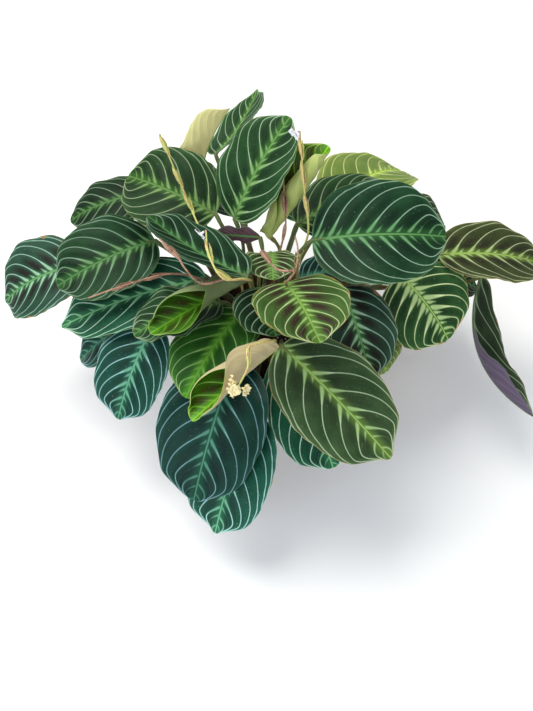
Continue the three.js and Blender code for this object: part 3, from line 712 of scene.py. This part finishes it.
# The looks of the leaves. deep is the lamina, mid its greener margin, patch the dark blotches between the
# veins, flame the feathered silver at the midrib, line the thin vein further out, rib the midrib, glow the
# green beside it, rim the edge, dried its dried bits, back the underside and stalk the stalk. patches, flames
# and dry say how much there is of each, and gloss is the specular level.
darkLeaf = dict(
    deep="#15341f", mid="#254a2d", patch="#0e1f14", flame="#61905f", line="#a4c2aa", rib="#5d8c52",
    glow="#2c5629", rim="#6a7f50", dried="#8c6b42", patches=0.6, gloss=0.1, flames=0.95, dry=0.3,
    back="#5a3648", stalk="#5d6b3a",
)
leafLooks = {
    "deep": darkLeaf,
    "fresh": dict(
        darkLeaf, deep="#1b3d21", mid="#2c5630", flame="#719a64", glow="#35642b", back="#5c3a45",
    ),
    # Teal leaves: the bluish cast is partly their own teal and partly painted reflection of a cool sky light.
    "tealSkyReflection": dict(
        darkLeaf, deep="#0a372a", mid="#164c3c", patch="#0a211e", flame="#5a927a", line="#9ec8cd",
        rib="#549070", glow="#1f523d", rim="#578070", gloss=0.14, back="#4c3446", stalk="#53633f",
    ),
    "tanned": dict(
        darkLeaf, deep="#2d371c", mid="#48502c", patch="#211f16", flame="#8ca364", line="#b8c49a",
        rib="#85a04e", glow="#586d2e", rim="#a98d62", patches=0.8, flames=1.1, dry=1.0, back="#5d4340",
        stalk="#6f7a3c",
    ),
    "right": dict(
        darkLeaf, deep="#243623", mid="#3f5236", patch="#1a261a", flame="#7f9e71", line="#b2c6a6",
        rib="#729658", glow="#4a6836", rim="#9c8c60", dry=0.6, back="#5d4340", stalk="#6f7a3c",
    ),
    "feathered": dict(
        darkLeaf, deep="#1d4028", mid="#305c36", flame="#82a67e", line="#b2cfae", rib="#76a060",
        rim="#a08c5e", flames=1.55, dry=2.6,
    ),
    "brown": dict(
        darkLeaf, deep="#203a2a", mid="#33523c", patch="#1f1f19", flame="#86a883", rim="#8a8468",
        patches=1.0, dry=1.6, back="#573a46", stalk="#5f6438",
    ),
    "patched": dict(
        darkLeaf, deep="#2b4a1e", mid="#41622a", patch="#2a2018", flame="#7f9f60", line="#b9c79a",
        rib="#6d9044", glow="#4a6c28", rim="#8f8a52", patches=1.0, flames=0.75, dry=0.8, back="#5f4440",
        stalk="#77803c",
    ),
    "bright": dict(
        darkLeaf, deep="#275a1e", mid="#3c7a2a", patch="#1b4018", flame="#6aa045", line="#a9cf94",
        rib="#64a23a", glow="#4c8f26", rim="#7a9c4a", back="#7d7f4a", stalk="#7f8f3f",
    ),
    "pale": dict(
        darkLeaf, deep="#5a7438", mid="#7c9450", patch="#48622c", flame="#a8c270", line="#cbd796",
        rib="#accb5c", glow="#7a9c40", rim="#b3a26c", patches=0.3, back="#a3a45e", stalk="#8a9443",
    ),
    # A young leaf that unrolls: its pale yellow underside and rim are partly its own young colour and partly
    # painted light shining through the thin blade.
    "unrolling": dict(
        darkLeaf, deep="#2d5a1c", mid="#4a742c", patch="#26441a", flame="#84ac52", line="#a9c67c",
        rib="#9bbd4e", glow="#5a862c", rim="#d8d08c", back="#efe79c", stalk="#8c8e45",
    ),
    # Furled young leaves: their bright yellow-green is partly their own young colour and partly painted light
    # shining through the rolled blade.
    "furled": dict(
        darkLeaf, deep="#35650a", mid="#4a8012", patch="#3a3208", flame="#7fb530", line="#b2d468",
        rib="#8fc437", glow="#559414", rim="#9a9a62", patches=0.9, flames=0.6, gloss=0.3, back="#8f9b5c",
        stalk="#8b8b45",
    ),
}
leafLooks["olive"] = dict(leafLooks["tanned"], deep="#2a3f22", mid="#425632", patches=0.35, dry=0.5)
leafLooks["hanging"] = dict(leafLooks["right"], back="#4d3d53")
# These furled looks carry the same painted light shining through the blade.
leafLooks["furledBeige"] = dict(leafLooks["furled"], back="#b5a67c", rim="#a88c66")
leafLooks["furledGreen"] = dict(leafLooks["furled"], back="#9aab5e", rim="#bd9c86")

# Marks on the face, repeated with every side vein: phase is the place between two side veins. The half
# widths, in millimetres on a full-grown leaf, are start at the midrib, widest at peak and least from end
# on, where peak and end are shares of the leaf's half width. A least below nothing lets a mark run out in
# a point.
leafMarks = {
    "flame": {"phase": 0.0, "start": 0.9, "widest": 1.5, "peak": 0.11, "end": 0.44, "least": 0.27},
    "spike": {"phase": 0.45, "start": 0.8, "widest": 0.95, "peak": 0.07, "end": 0.24, "least": -0.5},
}
# Real sizes on the leaf, in millimetres. Fine striation is about 0.3 mm apart and is drawn at 0.9 mm, which
# is what the render can show.
leafScale = {
    "softness": 0.4, "feather": 0.9, "grownSpacing": 10.0, "ribBase": 1.1, "ribTip": 0.35, "halo": 7.0,
    "margin": 10.0, "mottle": 22.0, "speck": 1.6, "striation": 0.9, "veinToVein": 12, "rimWidth": 0.35,
    "driedPatch": 13.0,
}
smooth = {"interpolation_type": "SMOOTHSTEP"}


# The six coordinates that veinCoordinates gives, read back from the mesh.
def leafCoordinates(tree):
    coordinates = []
    for name in ("veins", "blade"):
        vector = addNode(tree, "Attribute", attribute_name=name).outputs["Vector"]
        coordinates += addNode(tree, "SeparateXYZ", {0: vector}).outputs
    return coordinates


# Fine striation, which runs along the side veins.
def striationAlong(tree, count, outward):
    across = addNode(
        tree, "Math", {0: count, 1: leafScale["veinToVein"] / leafScale["striation"]}, operation="MULTIPLY"
    )
    along = addNode(tree, "Math", {0: outward, 1: 2.5}, operation="MULTIPLY")
    grain = addNode(tree, "CombineXYZ", {0: across, 1: along})
    return addNode(tree, "TexNoise", {"Vector": grain, "Scale": 1.0, "Detail": 2.0})


# The colours of the look, multiplied by the leaf's painted light and shade, which carries some of its own
# colour too.
def withPaintedLightAndTone(tree, body):
    paintedLightAndTone = addNode(tree, "Attribute", attribute_name="tint").outputs["Color"]
    return addNode(
        tree, "Mix", {0: 1.0, 6: body, 7: paintedLightAndTone}, data_type="RGBA", blend_type="MULTIPLY"
    ).outputs[2]


# Leaf face: living maranta leaf, a waxy cuticle over soft cells. That gives the eye a satin, slightly velvety
# green with no hard highlight.
def leafFace(name, look):
    material, tree = newMaterial(name)
    size = leafScale
    colour = {part: linear(value) for part, value in look.items() if isinstance(value, str)}
    count, outward, spacing, share, fromRib, fromEdge = leafCoordinates(tree)
    place = addNode(tree, "TexCoord").outputs["Object"]
    mottle, speck, patchy = (
        addNode(tree, "TexNoise", {"Vector": place, "Scale": 1000 / size[grain], "Detail": detail})
        for grain, detail in (("mottle", 3.0), ("speck", 1.0), ("driedPatch", 4.0))
    )

    # The marks are smaller where the veins stand close and towards the tip.
    grown = addNode(
        tree, "MapRange", {0: spacing, 2: size["grownSpacing"], 3: 0.25 * look["flames"], 4: look["flames"]}
    )
    shrinking = addNode(tree, "MapRange", {0: share, 1: 0.6, 3: 1.0, 4: 0.3}, **smooth)
    grown = addNode(tree, "Math", {0: grown, 1: shrinking}, operation="MULTIPLY")

    # Side veins with their flames, and the spikes between them: as wide as the distance out allows, with a
    # soft edge near the midrib. Each one reaches out a little further or less far than the next.
    feather = addNode(
        tree, "MapRange", {0: outward, 1: 0.1, 2: 0.45, 3: size["feather"], 4: size["softness"]}
    )
    unsharp = addNode(tree, "Math", {0: feather, 1: -1.0}, operation="MULTIPLY")
    covers = {}
    for mark, line in leafMarks.items():
        counted = addNode(tree, "Math", {0: count, 1: line["phase"]}, operation="SUBTRACT")
        wave = addNode(tree, "Math", {0: counted, 1: 0.5}, operation="PINGPONG")
        away = addNode(tree, "Math", {0: wave, 1: spacing}, operation="MULTIPLY")
        nearest = addNode(tree, "Math", {0: counted}, operation="ROUND")
        chance = addNode(tree, "TexWhiteNoise", {"W": nearest}, noise_dimensions="1D")
        stretch = addNode(tree, "MapRange", {0: chance, 3: 0.85, 4: 1.3})
        out = addNode(tree, "Math", {0: outward, 1: stretch}, operation="MULTIPLY")
        rise = addNode(
            tree, "MapRange", {0: out, 2: line["peak"], 3: line["start"], 4: line["widest"]}, **smooth
        )
        fall = addNode(
            tree, "MapRange", {0: out, 1: line["peak"], 2: line["end"], 3: line["widest"], 4: line["least"]}
        )
        half = addNode(tree, "Math", {0: rise, 1: fall}, operation="MINIMUM")
        half = addNode(tree, "Math", {0: half, 1: grown}, operation="MULTIPLY")
        if mark == "flame":
            half = addNode(tree, "Math", {0: half, 1: line["least"]}, operation="MAXIMUM")
            fromVein = wave
        inside = addNode(tree, "Math", {0: half, 1: away}, operation="SUBTRACT")
        covers[mark] = addNode(tree, "MapRange", {0: inside, 1: unsharp, 2: feather}, **smooth)
    thinned = addNode(tree, "MapRange", {0: outward, 1: 0.3, 3: 1.0, 4: 0.7})
    covers["flame"] = addNode(tree, "Math", {0: thinned, 1: covers["flame"]}, operation="MULTIPLY")
    silver = addNode(tree, "MapRange", {0: outward, 1: 0.2, 2: 0.5}, **smooth)
    veinColour = addNode(
        tree, "Mix", {0: silver, 6: colour["flame"], 7: colour["line"]}, data_type="RGBA"
    ).outputs[2]

    # The midrib with the glow beside it, and the greener margin.
    ribHalf = addNode(tree, "MapRange", {0: share, 3: size["ribBase"], 4: size["ribTip"]})
    inRib = addNode(tree, "Math", {0: ribHalf, 1: fromRib}, operation="SUBTRACT")
    inRib = addNode(tree, "MapRange", {0: inRib, 1: -0.5, 2: 0.4}, **smooth)
    halo = addNode(tree, "MapRange", {0: fromRib, 2: size["halo"], 3: 0.8, 4: 0.0}, **smooth)
    nearMargin = addNode(tree, "MapRange", {0: fromEdge, 2: size["margin"], 3: 0.8, 4: 0.0}, **smooth)
    greener = addNode(tree, "MapRange", {0: mottle, 1: 0.4, 2: 0.7, 4: 0.7})
    greener = addNode(tree, "Math", {0: greener, 1: nearMargin}, operation="MAXIMUM")

    # Dark blotches, between the veins and off the midrib.
    between = addNode(tree, "MapRange", {0: fromVein, 1: 0.06, 2: 0.4, 4: look["patches"]}, **smooth)
    begins = addNode(tree, "MapRange", {0: outward, 1: 0.06, 2: 0.26}, **smooth)
    ends = addNode(tree, "MapRange", {0: outward, 1: 0.4, 2: 0.85, 3: 1.0, 4: 0.0}, **smooth)
    blotch = addNode(tree, "Math", {0: begins, 1: ends}, operation="MULTIPLY")
    blotch = addNode(tree, "Math", {0: blotch, 1: between}, operation="MULTIPLY")

    # The edge, its dried bits, which are patchy along it, and pale specks.
    rimWidth = size["rimWidth"]
    rim = addNode(
        tree, "MapRange", {0: fromEdge, 1: 0.4 * rimWidth, 2: 1.6 * rimWidth, 3: 0.7, 4: 0.0}, **smooth
    )
    dried = addNode(tree, "MapRange", {0: patchy, 1: 0.52, 2: 0.72, 4: 2 * look["dry"]}, clamp=False)
    dried = addNode(tree, "Math", {0: dried, 1: fromEdge}, operation="SUBTRACT")
    dried = addNode(tree, "MapRange", {0: dried, 1: -0.1, 2: 0.3, 4: 0.9})
    paleSpecks = addNode(tree, "MapRange", {0: speck, 1: 0.7, 2: 0.76, 4: 0.12})

    striation = striationAlong(tree, count, outward)
    shade = addNode(tree, "MapRange", {0: striation, 1: 0.35, 2: 0.75, 4: 0.35})
    body = colour["deep"]
    for cover, tint in (
        (greener, colour["mid"]), (blotch, colour["patch"]), (shade, colour["patch"]), (halo, colour["glow"]),
        (paleSpecks, colour["line"]), (covers["spike"], colour["flame"]), (covers["flame"], veinColour),
        (inRib, colour["rib"]), (rim, colour["rim"]), (dried, colour["dried"]),
    ):
        body = addNode(tree, "Mix", {0: cover, 6: body, 7: tint}, data_type="RGBA").outputs[2]
    height = addNode(tree, "Math", {0: covers["flame"], 1: -0.5, 2: striation}, operation="MULTIPLY_ADD")
    height = addNode(tree, "Math", {0: speck, 1: 0.4, 2: height}, operation="MULTIPLY_ADD")
    return finishMaterial(material, {
        "Base Color": withPaintedLightAndTone(tree, body),
        "Roughness": addNode(tree, "MapRange", {0: mottle, 1: 0.3, 2: 0.7, 3: 0.4, 4: 0.52}),
        "IOR": 1.45, "Specular IOR Level": look["gloss"],
    }, (height, 0.3, 0.15))


# Leaf back: the same leaf from below, matt and without the silver, maroon when mature and pale when young; on
# the young, curled leaves the pale colour is partly painted light shining through.
# The side veins stand out a little.
def leafBack(name, look):
    material, tree = newMaterial(name)
    count, outward, spacing, share, fromRib, fromEdge = leafCoordinates(tree)
    place = addNode(tree, "TexCoord").outputs["Object"]
    mottle = addNode(
        tree, "TexNoise", {"Vector": place, "Scale": 1000 / leafScale["mottle"], "Detail": 4.0}
    )
    striation = striationAlong(tree, count, outward)
    wave = addNode(tree, "Math", {0: count, 1: 0.5}, operation="PINGPONG")
    away = addNode(tree, "Math", {0: wave, 1: spacing}, operation="MULTIPLY")
    vein = addNode(tree, "MapRange", {0: away, 1: 0.2, 2: 1.1, 3: 1.0, 4: 0.0}, **smooth)
    back = linear(look["back"])
    paler = [channel + (1 - channel) * 0.08 for channel in back[:3]] + [1.0]
    darker = [channel * 0.62 for channel in back[:3]] + [1.0]
    inRib = addNode(tree, "MapRange", {0: fromRib, 1: 0.8, 2: 1.8, 3: 1.0, 4: 0.0}, **smooth)
    body = back
    for cover, tint in (
        (addNode(tree, "MapRange", {0: mottle, 1: 0.35, 2: 0.75, 4: 0.55}), darker),
        (addNode(tree, "MapRange", {0: striation, 1: 0.3, 2: 0.7, 4: 0.45}), paler),
        (addNode(tree, "Math", {0: vein, 1: 0.45}, operation="MULTIPLY"), paler),
        (inRib, linear(look["rib"])),
    ):
        body = addNode(tree, "Mix", {0: cover, 6: body, 7: tint}, data_type="RGBA").outputs[2]
    height = addNode(tree, "Math", {0: vein, 1: 1.2, 2: striation}, operation="MULTIPLY_ADD")
    return finishMaterial(material, {
        "Base Color": withPaintedLightAndTone(tree, body), "Roughness": 0.6, "IOR": 1.45, "Specular IOR Level": 0.3,
    }, (height, 0.4, 0.2))


# Leaf stalk: a juicy stem, smooth and half matt, green above and reddish towards its foot, with fine ribs.
# mottle is in millimetres, ribs is their number round the stalk, and breaks how often they change along it.
stalkLook = {"foot": "#6b4130", "streak": "#2c2a16", "mottle": 7, "ribs": 24, "breaks": 9}


def stalkSkin(name, fresh):
    material, tree = newMaterial(name)
    place = addNode(tree, "TexCoord").outputs["Object"]
    blade = addNode(tree, "Attribute", attribute_name="blade").outputs["Vector"]
    share, turn = addNode(tree, "SeparateXYZ", {0: blade}).outputs[:2]
    mottle = addNode(tree, "TexNoise", {"Vector": place, "Scale": 1000 / stalkLook["mottle"], "Detail": 3.0})
    around = addNode(tree, "Math", {0: turn, 1: stalkLook["ribs"]}, operation="MULTIPLY")
    along = addNode(tree, "Math", {0: share, 1: stalkLook["breaks"]}, operation="MULTIPLY")
    fibre = addNode(tree, "CombineXYZ", {0: around, 1: along})
    fibre = addNode(tree, "TexNoise", {"Vector": fibre, "Scale": 1.0, "Detail": 1.0})
    rising = addNode(tree, "Math", {0: mottle, 1: 0.5, 2: share}, operation="MULTIPLY_ADD")
    body = linear(stalkLook["foot"])
    for cover, tint in (
        (addNode(tree, "MapRange", {0: rising, 1: 0.35, 2: 0.85}, **smooth), fresh),
        (addNode(tree, "MapRange", {0: fibre, 1: 0.35, 2: 0.75, 4: 0.4}), stalkLook["streak"]),
    ):
        body = addNode(tree, "Mix", {0: cover, 6: body, 7: linear(tint)}, data_type="RGBA").outputs[2]
    return finishMaterial(material, {
        "Base Color": body, "Roughness": 0.45, "IOR": 1.45, "Specular IOR Level": 0.4,
    }, (fibre, 0.5, 0.2))


# Flower stalk: thin green stem, which dries to papery tan in patches of about 9 mm, with paler flecks of
# 1.2 mm.
def flowerSkin(name, fresh, dried, tip):
    material, tree = newMaterial(name)
    place = addNode(tree, "TexCoord").outputs["Object"]
    patchy = addNode(tree, "TexNoise", {"Vector": place, "Scale": 1000 / 9, "Detail": 3.0})
    fibre = addNode(tree, "TexNoise", {"Vector": place, "Scale": 1000 / 1.2, "Detail": 2.0})
    body = linear(fresh)
    for cover, tint in (
        (addNode(tree, "MapRange", {0: patchy, 1: 0.4, 2: 0.62}, **smooth), dried),
        (addNode(tree, "MapRange", {0: fibre, 1: 0.45, 2: 0.75, 4: 0.7}), tip),
    ):
        body = addNode(tree, "Mix", {0: cover, 6: body, 7: linear(tint)}, data_type="RGBA").outputs[2]
    return finishMaterial(material, {
        "Base Color": body, "Roughness": 0.65, "IOR": 1.45, "Specular IOR Level": 0.3,
    }, (fibre, 0.5, 0.2))


# Petal: thin white petal tissue, soft and matt, with violet marks near its base, or cream once withered. The
# marks are about 2 mm wide.
def petalSkin(name, white, mark):
    material, tree = newMaterial(name)
    place = addNode(tree, "TexCoord").outputs["Object"]
    blade = addNode(tree, "Attribute", attribute_name="blade").outputs["Vector"]
    share = addNode(tree, "SeparateXYZ", {0: blade})
    blot = addNode(tree, "TexNoise", {"Vector": place, "Scale": 1000 / 2, "Detail": 2.0})
    uneven = addNode(tree, "Math", {0: blot, 1: 0.5, 2: share}, operation="MULTIPLY_ADD")
    cover = addNode(tree, "MapRange", {0: uneven, 1: 0.35, 2: 0.55, 3: 0.8, 4: 0.0}, **smooth)
    body = addNode(tree, "Mix", {0: cover, 6: linear(white), 7: linear(mark)}, data_type="RGBA").outputs[2]
    return finishMaterial(material, {
        "Base Color": body, "Roughness": 0.6, "IOR": 1.4, "Specular IOR Level": 0.3,
    })


faces = {look: leafFace("leafFace_" + look, colours) for look, colours in leafLooks.items()}
backs = {look: leafBack("leafBack_" + look, colours) for look, colours in leafLooks.items()}
stalks = {look: stalkSkin("leafStalk_" + look, colours["stalk"]) for look, colours in leafLooks.items()}
freshFlowerStalk = flowerSkin("freshFlowerStalk", "#c2c66c", "#cfae6c", "#ece6ac")
dryFlowerStalk = flowerSkin("dryFlowerStalk", "#a9826a", "#7c5642", "#d9b39c")
freshPetal = petalSkin("whitePetal", "#fbf8fb", "#7a3f9a")
witheredPetal = petalSkin("witheredPetal", "#efe2b0", "#c79a3a")
print("materials ready")

# The leaves, each with its stalk and with the flower stalks that spring from it.
plants = {name: completed(name, index) for index, name in enumerate(leaves)}
rooted = [line for line in flowerStalks if "root" in line]
for line in rooted:
    line["place"] = [float(line["root"][0]), float(line["root"][1]), planting["soilTop"]]
spreadRoots([plant["root"] for plant in plants.values()] + [line["place"] for line in rooted])
for name, leaf in plants.items():
    # The leaf's painted light and shade, with some of its own colour: its lightness and warmth, made into one
    # colour that its finishes multiply in.
    light, warmth = leaf["paintedLightAndTone"]
    part = newPart((light * (1 + warmth), light, light * (1 - warmth)))
    addBlade(part, leaf, bladeBuild["rows"], bladeBuild["columns"], bladeBuild["thickness"])
    addStalk(part, leaf)
    spring = bezier(stalkCurve(leaf), 5)[3]
    for line in flowerStalks:
        if line.get("leaf") == name:
            finish = 4 if line["dry"] > 0.5 else 3
            addFlowerStalk(part, [spring, *line["way"]], line["bracts"], finish)
            if "fork" in line:
                addFlowerStalk(part, [line["way"][1], *line["fork"]], line["bracts"], finish)
    look = leaf["look"]
    finishes = (faces[look], backs[look], stalks[look], freshFlowerStalk, dryFlowerStalk)
    makePiece(name + "_fine", part, finishes, name)
print("leaves made:", len(plants))

for line in rooted:
    part = newPart()
    foot = np.array(line["place"])
    places = [foot + 4 * upward, *line["way"]]
    finish = 1 if line["dry"] > 0.5 else 0
    addFlowerStalk(part, places, line["bracts"], finish, [foot - planting["depth"] * upward])
    makePiece(line["name"] + "_fine", part, (freshFlowerStalk, dryFlowerStalk), line["name"])
for line in flowerStalks:
    if "bloomName" in line:
        part = newPart()
        withered = line["bloomName"] == "flower_front_bloom"
        end = np.array(line["way"][-1], float)
        addBloom(part, end, line["bloom"], withered)
        if withered:
            for shift, facing in witheredBunch:
                addBloom(part, end + shift, facing, withered)
        petal = witheredPetal if withered else freshPetal
        makePiece(line["bloomName"] + "_fine", part, (petal, petal), line["bloomName"])
print("flowers made")


# Potting mix: peat crumb, loose and matt, which gives the eye a dark, rough ground. Crumbs are about 3 mm,
# with a finer grain of 1.2 mm.
def pottingMix():
    material, tree = newMaterial("pottingMix")
    place = addNode(tree, "TexCoord").outputs["Object"]
    crumb = addNode(tree, "TexVoronoi", {"Vector": place, "Scale": 1000 / 3})
    fine = addNode(tree, "TexNoise", {"Vector": place, "Scale": 1000 / 1.2, "Detail": 4.0})
    low, high = linear("#17110d"), linear("#4a3727")
    body = addNode(tree, "Mix", {0: fine, 6: low, 7: high}, data_type="RGBA").outputs[2]
    height = addNode(tree, "Math", {0: crumb, 1: -1.0, 2: fine}, operation="MULTIPLY_ADD")
    return finishMaterial(
        material, {"Base Color": body, "Roughness": 0.92, "IOR": 1.4}, (height, 1.0, 1.2)
    )


# Bark and perlite: composted bark is fibrous and matt, and perlite is a chalky white foamed glass. grain is
# in millimetres.
def gritSkin(name, low, high, grain, roughness):
    material, tree = newMaterial(name)
    place = addNode(tree, "TexCoord").outputs["Object"]
    fine = addNode(tree, "TexNoise", {"Vector": place, "Scale": 1000 / grain, "Detail": 3.0})
    body = addNode(tree, "Mix", {0: fine, 6: linear(low), 7: linear(high)}, data_type="RGBA").outputs[2]
    return finishMaterial(
        material, {"Base Color": body, "Roughness": roughness, "IOR": 1.45}, (fine, 0.6, 0.3)
    )


# Polypropylene pot: injection moulded, off-white and half gloss, with a fine moulded grain of 0.8 mm and
# faint stains of about 45 mm.
def mouldedPolypropylene():
    material, tree = newMaterial("mouldedPolypropylene")
    place = addNode(tree, "TexCoord").outputs["Object"]
    grain = addNode(tree, "TexNoise", {"Vector": place, "Scale": 1000 / 0.8, "Detail": 2.0})
    stain = addNode(tree, "TexNoise", {"Vector": place, "Scale": 1000 / 45, "Detail": 4.0})
    cover = addNode(tree, "MapRange", {0: stain, 1: 0.45, 2: 0.75, 4: 0.5})
    clean, stained = linear("#e6e4dd"), linear("#d6d2c4")
    body = addNode(tree, "Mix", {0: cover, 6: clean, 7: stained}, data_type="RGBA").outputs[2]
    roughness = addNode(tree, "MapRange", {0: stain, 1: 0.3, 2: 0.7, 3: 0.34, 4: 0.46})
    return finishMaterial(
        material, {"Base Color": body, "Roughness": roughness, "IOR": 1.49}, (grain, 0.15, 0.1)
    )


soilFinish = pottingMix()
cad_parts["soil"].data.materials.clear()
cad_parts["soil"].data.materials.append(soilFinish)

# What lies loose on the soil: crumbs, bark chips and perlite. flat is the height as a share of the size.
grit = {
    "crumb": {"count": 420, "sizes": (1.2, 3.2), "flat": 0.8, "long": 1.2},
    "bark": {"count": 130, "sizes": (3.0, 6.5), "flat": 0.3, "long": 1.8},
    "perlite": {"count": 70, "sizes": (1.2, 2.6), "flat": 0.9, "long": 1.1},
}
soilBuild = {"radius": 59.5, "mound": 3.0, "edge": 62.3, "stalkRoom": 2.6, "lean": 0.35}
golden = (1 + math.sqrt(5)) / 2
icosahedron = unit(np.array([
    point for a in (-1.0, 1.0) for b in (-golden, golden) for point in ((0, a, b), (a, b, 0), (b, 0, a))
]))


# The faces of a solid whose corners all lie on a ball: three corners make one when no other is beyond them.
def ballFaces(corners):
    faces = []
    for i in range(len(corners)):
        for j in range(i + 1, len(corners)):
            for k in range(j + 1, len(corners)):
                normal = np.cross(corners[j] - corners[i], corners[k] - corners[i])
                beyond = (corners - corners[i]) @ normal
                if beyond.max() < 1e-6:
                    faces.append((i, j, k))
                elif beyond.min() > -1e-6:
                    faces.append((i, k, j))
    return faces


def addGrit(part, stalkRoots):
    chance = np.random.default_rng(11)
    corners = ballFaces(icosahedron)
    for finish, kind in enumerate(grit.values()):
        for k in range(kind["count"]):
            size = chance.uniform(*kind["sizes"])
            angle = chance.uniform(0, 2 * math.pi)
            away = (soilBuild["radius"] - size) * math.sqrt(chance.uniform())
            place = np.array((away * math.cos(angle), away * math.sin(angle)))
            room = size / 2 * kind["long"] + soilBuild["stalkRoom"]
            if np.linalg.norm(stalkRoots - place, axis=1).min() < room:
                continue
            shape = (kind["long"], 1, kind["flat"])
            lump = icosahedron * chance.uniform(0.7, 1.1, (12, 1)) * shape * size / 2
            turn = chance.uniform(0, 2 * math.pi)
            lean = chance.uniform(-soilBuild["lean"], soilBuild["lean"])
            for turned, (a, b) in ((lean, (0, 2)), (turn, (0, 1))):
                wheel = np.eye(3)
                wheel[a, a] = wheel[b, b] = math.cos(turned)
                wheel[a, b], wheel[b, a] = math.sin(turned), -math.sin(turned)
                lump = lump @ wheel
            height = planting["soilTop"] + soilBuild["mound"] * (1 - away / soilBuild["edge"])
            addPatch(part, lump + (*place, height + 0.25 * kind["flat"] * size), corners, finish)


gritPart = newPart()
stalkRoots = [plant["root"][:2] for plant in plants.values()] + [line["place"][:2] for line in rooted]
addGrit(gritPart, np.array(stalkRoots))
barkChip = gritSkin("compostedBark", "#2c1a10", "#6b4a30", 2.5, 0.9)
perliteGrain = gritSkin("perliteGrain", "#cfccc4", "#f2f0ea", 0.8, 0.85)
makePiece("soil_grit", gritPart, (soilFinish, barkChip, perliteGrain))
print("soil finished")

# The pot, turned from a profile of (radius, height), with its corners rounded as a moulding has them.
potBuild = {
    "height": 120, "topRadius": 68, "footRadius": 48, "wall": 3.2, "floor": 4, "rimHeight": 16,
    "rimStep": 2.6, "sides": 96, "rounding": 1.3, "roundSteps": 5, "holes": 5, "holeRadius": 5,
    "holeCircle": 26, "holeSides": 32,
}


def rounded(profile, rounding, steps):
    smooth = [profile[0]]
    for before, corner, after in zip(profile, profile[1:], profile[2:]):
        back, on = before - corner, after - corner
        start = corner + back * min(0.45, rounding / np.linalg.norm(back))
        end = corner + on * min(0.45, rounding / np.linalg.norm(on))
        for x in np.linspace(0, 1, steps):
            smooth.append(start * (1 - x) ** 2 + 2 * corner * x * (1 - x) + end * x**2)
    return smooth + [profile[-1]]


def addLathe(part, profile, sides):
    angles = 2 * np.pi * np.arange(sides) / sides
    around = np.stack((np.cos(angles), np.sin(angles)), 1)
    rings = [np.column_stack((radius * around, np.full(sides, height))) for radius, height in profile[1:-1]]
    points = np.concatenate([*rings, [(0, 0, profile[0][1])], [(0, 0, profile[-1][1])]])
    first, last = len(points) - 2, len(points) - 1
    faces = []
    for k in range(sides):
        after = (k + 1) % sides
        faces.append((first, after, k))
        for i in range(len(rings) - 1):
            faces.append((i * sides + k, i * sides + after, (i + 1) * sides + after, (i + 1) * sides + k))
        top = (len(rings) - 1) * sides
        faces.append((top + k, top + after, last))
    addPatch(part, points, faces, 0)


def drainHoles():
    build = potBuild
    part = newPart()
    for k in range(build["holes"]):
        angle = 2 * math.pi * k / build["holes"]
        middle = build["holeCircle"] * np.array((math.cos(angle), math.sin(angle), 0))
        path = [middle + height * upward for height in (-2, build["floor"] / 2, build["floor"] + 0.2)]
        addTube(part, path, [build["holeRadius"]] * 3, build["holeSides"], 0)
    return bpy.data.objects.new("drainHoles", bareMesh("drainHoles", part))


def buildPot():
    build = potBuild
    top, foot, tall = build["topRadius"], build["footRadius"], build["height"]
    rim = tall - build["rimHeight"]
    profile = [
        (0, 0), (foot, 0), (top - build["rimStep"], rim), (top, rim + 1), (top, tall),
        (top - build["wall"], tall), (foot - build["wall"], build["floor"]), (0, build["floor"]),
    ]
    part = newPart()
    addLathe(part, rounded(np.array(profile, float), build["rounding"], build["roundSteps"]), build["sides"])
    pot = makePiece("pot_fine", part, (mouldedPolypropylene(),), "pot")
    cutter = drainHoles()
    scene.collection.objects.link(cutter)
    holes = pot.modifiers.new("holes", "BOOLEAN")
    holes.object = cutter
    holes.solver = "EXACT"
    shaped = pot.evaluated_get(bpy.context.evaluated_depsgraph_get())
    cut = bpy.data.meshes.new_from_object(shaped)
    pot.modifiers.clear()
    pot.data = cut
    bpy.data.objects.remove(cutter)


buildPot()
print("pot finished")


# Studio: a pale floor, a wide soft light above and a cooler one from the front.
def paleFloor():
    material = newMaterial("paleFloor")[0]
    return finishMaterial(
        material, {"Base Color": linear("#fbfbfa"), "Roughness": 0.9, "Specular IOR Level": 0.1}
    )


floorReach = 6.0  # metres
floorMesh = bpy.data.meshes.new("floor")
corners = [(x * floorReach, y * floorReach, 0) for x, y in ((-1, -1), (1, -1), (1, 1), (-1, 1))]
floorMesh.from_pydata(corners, [], [(0, 1, 2, 3)])
floorMesh.materials.append(paleFloor())
floor = bpy.data.objects.new("floor", floorMesh)
scene.collection.objects.link(floor)

# place and size are in metres, and power in watts.
lights = {
    "above": {"place": (-0.6, 0.35, 1.6), "size": 1.3, "power": 25, "colour": "#fffdf6"},
    "front": {"place": (-0.7, -1.5, 0.9), "size": 1.4, "power": 17, "colour": "#e4f0ff"},
}
for name, light in lights.items():
    lamp = bpy.data.lights.new(name, "AREA")
    lamp.shape = "DISK"
    lamp.size = light["size"]
    lamp.energy = light["power"]
    lamp.color = linear(light["colour"])[:3]
    holder = bpy.data.objects.new(name, lamp)
    holder.location = light["place"]
    aim = np.array((0, 0, 0.12)) - np.array(light["place"])
    holder.rotation_euler = (
        math.atan2(math.hypot(aim[0], aim[1]), -aim[2]), 0, math.atan2(aim[1], aim[0]) - math.pi / 2
    )
    scene.collection.objects.link(holder)
world = bpy.data.worlds.new("studio")
world.use_nodes = True
sky = world.node_tree.nodes["Background"]
sky.inputs["Color"].default_value = linear("#eef1f4")
sky.inputs["Strength"].default_value = 0.62
scene.world = world
scene.view_settings.view_transform = "Standard"
print("studio ready")
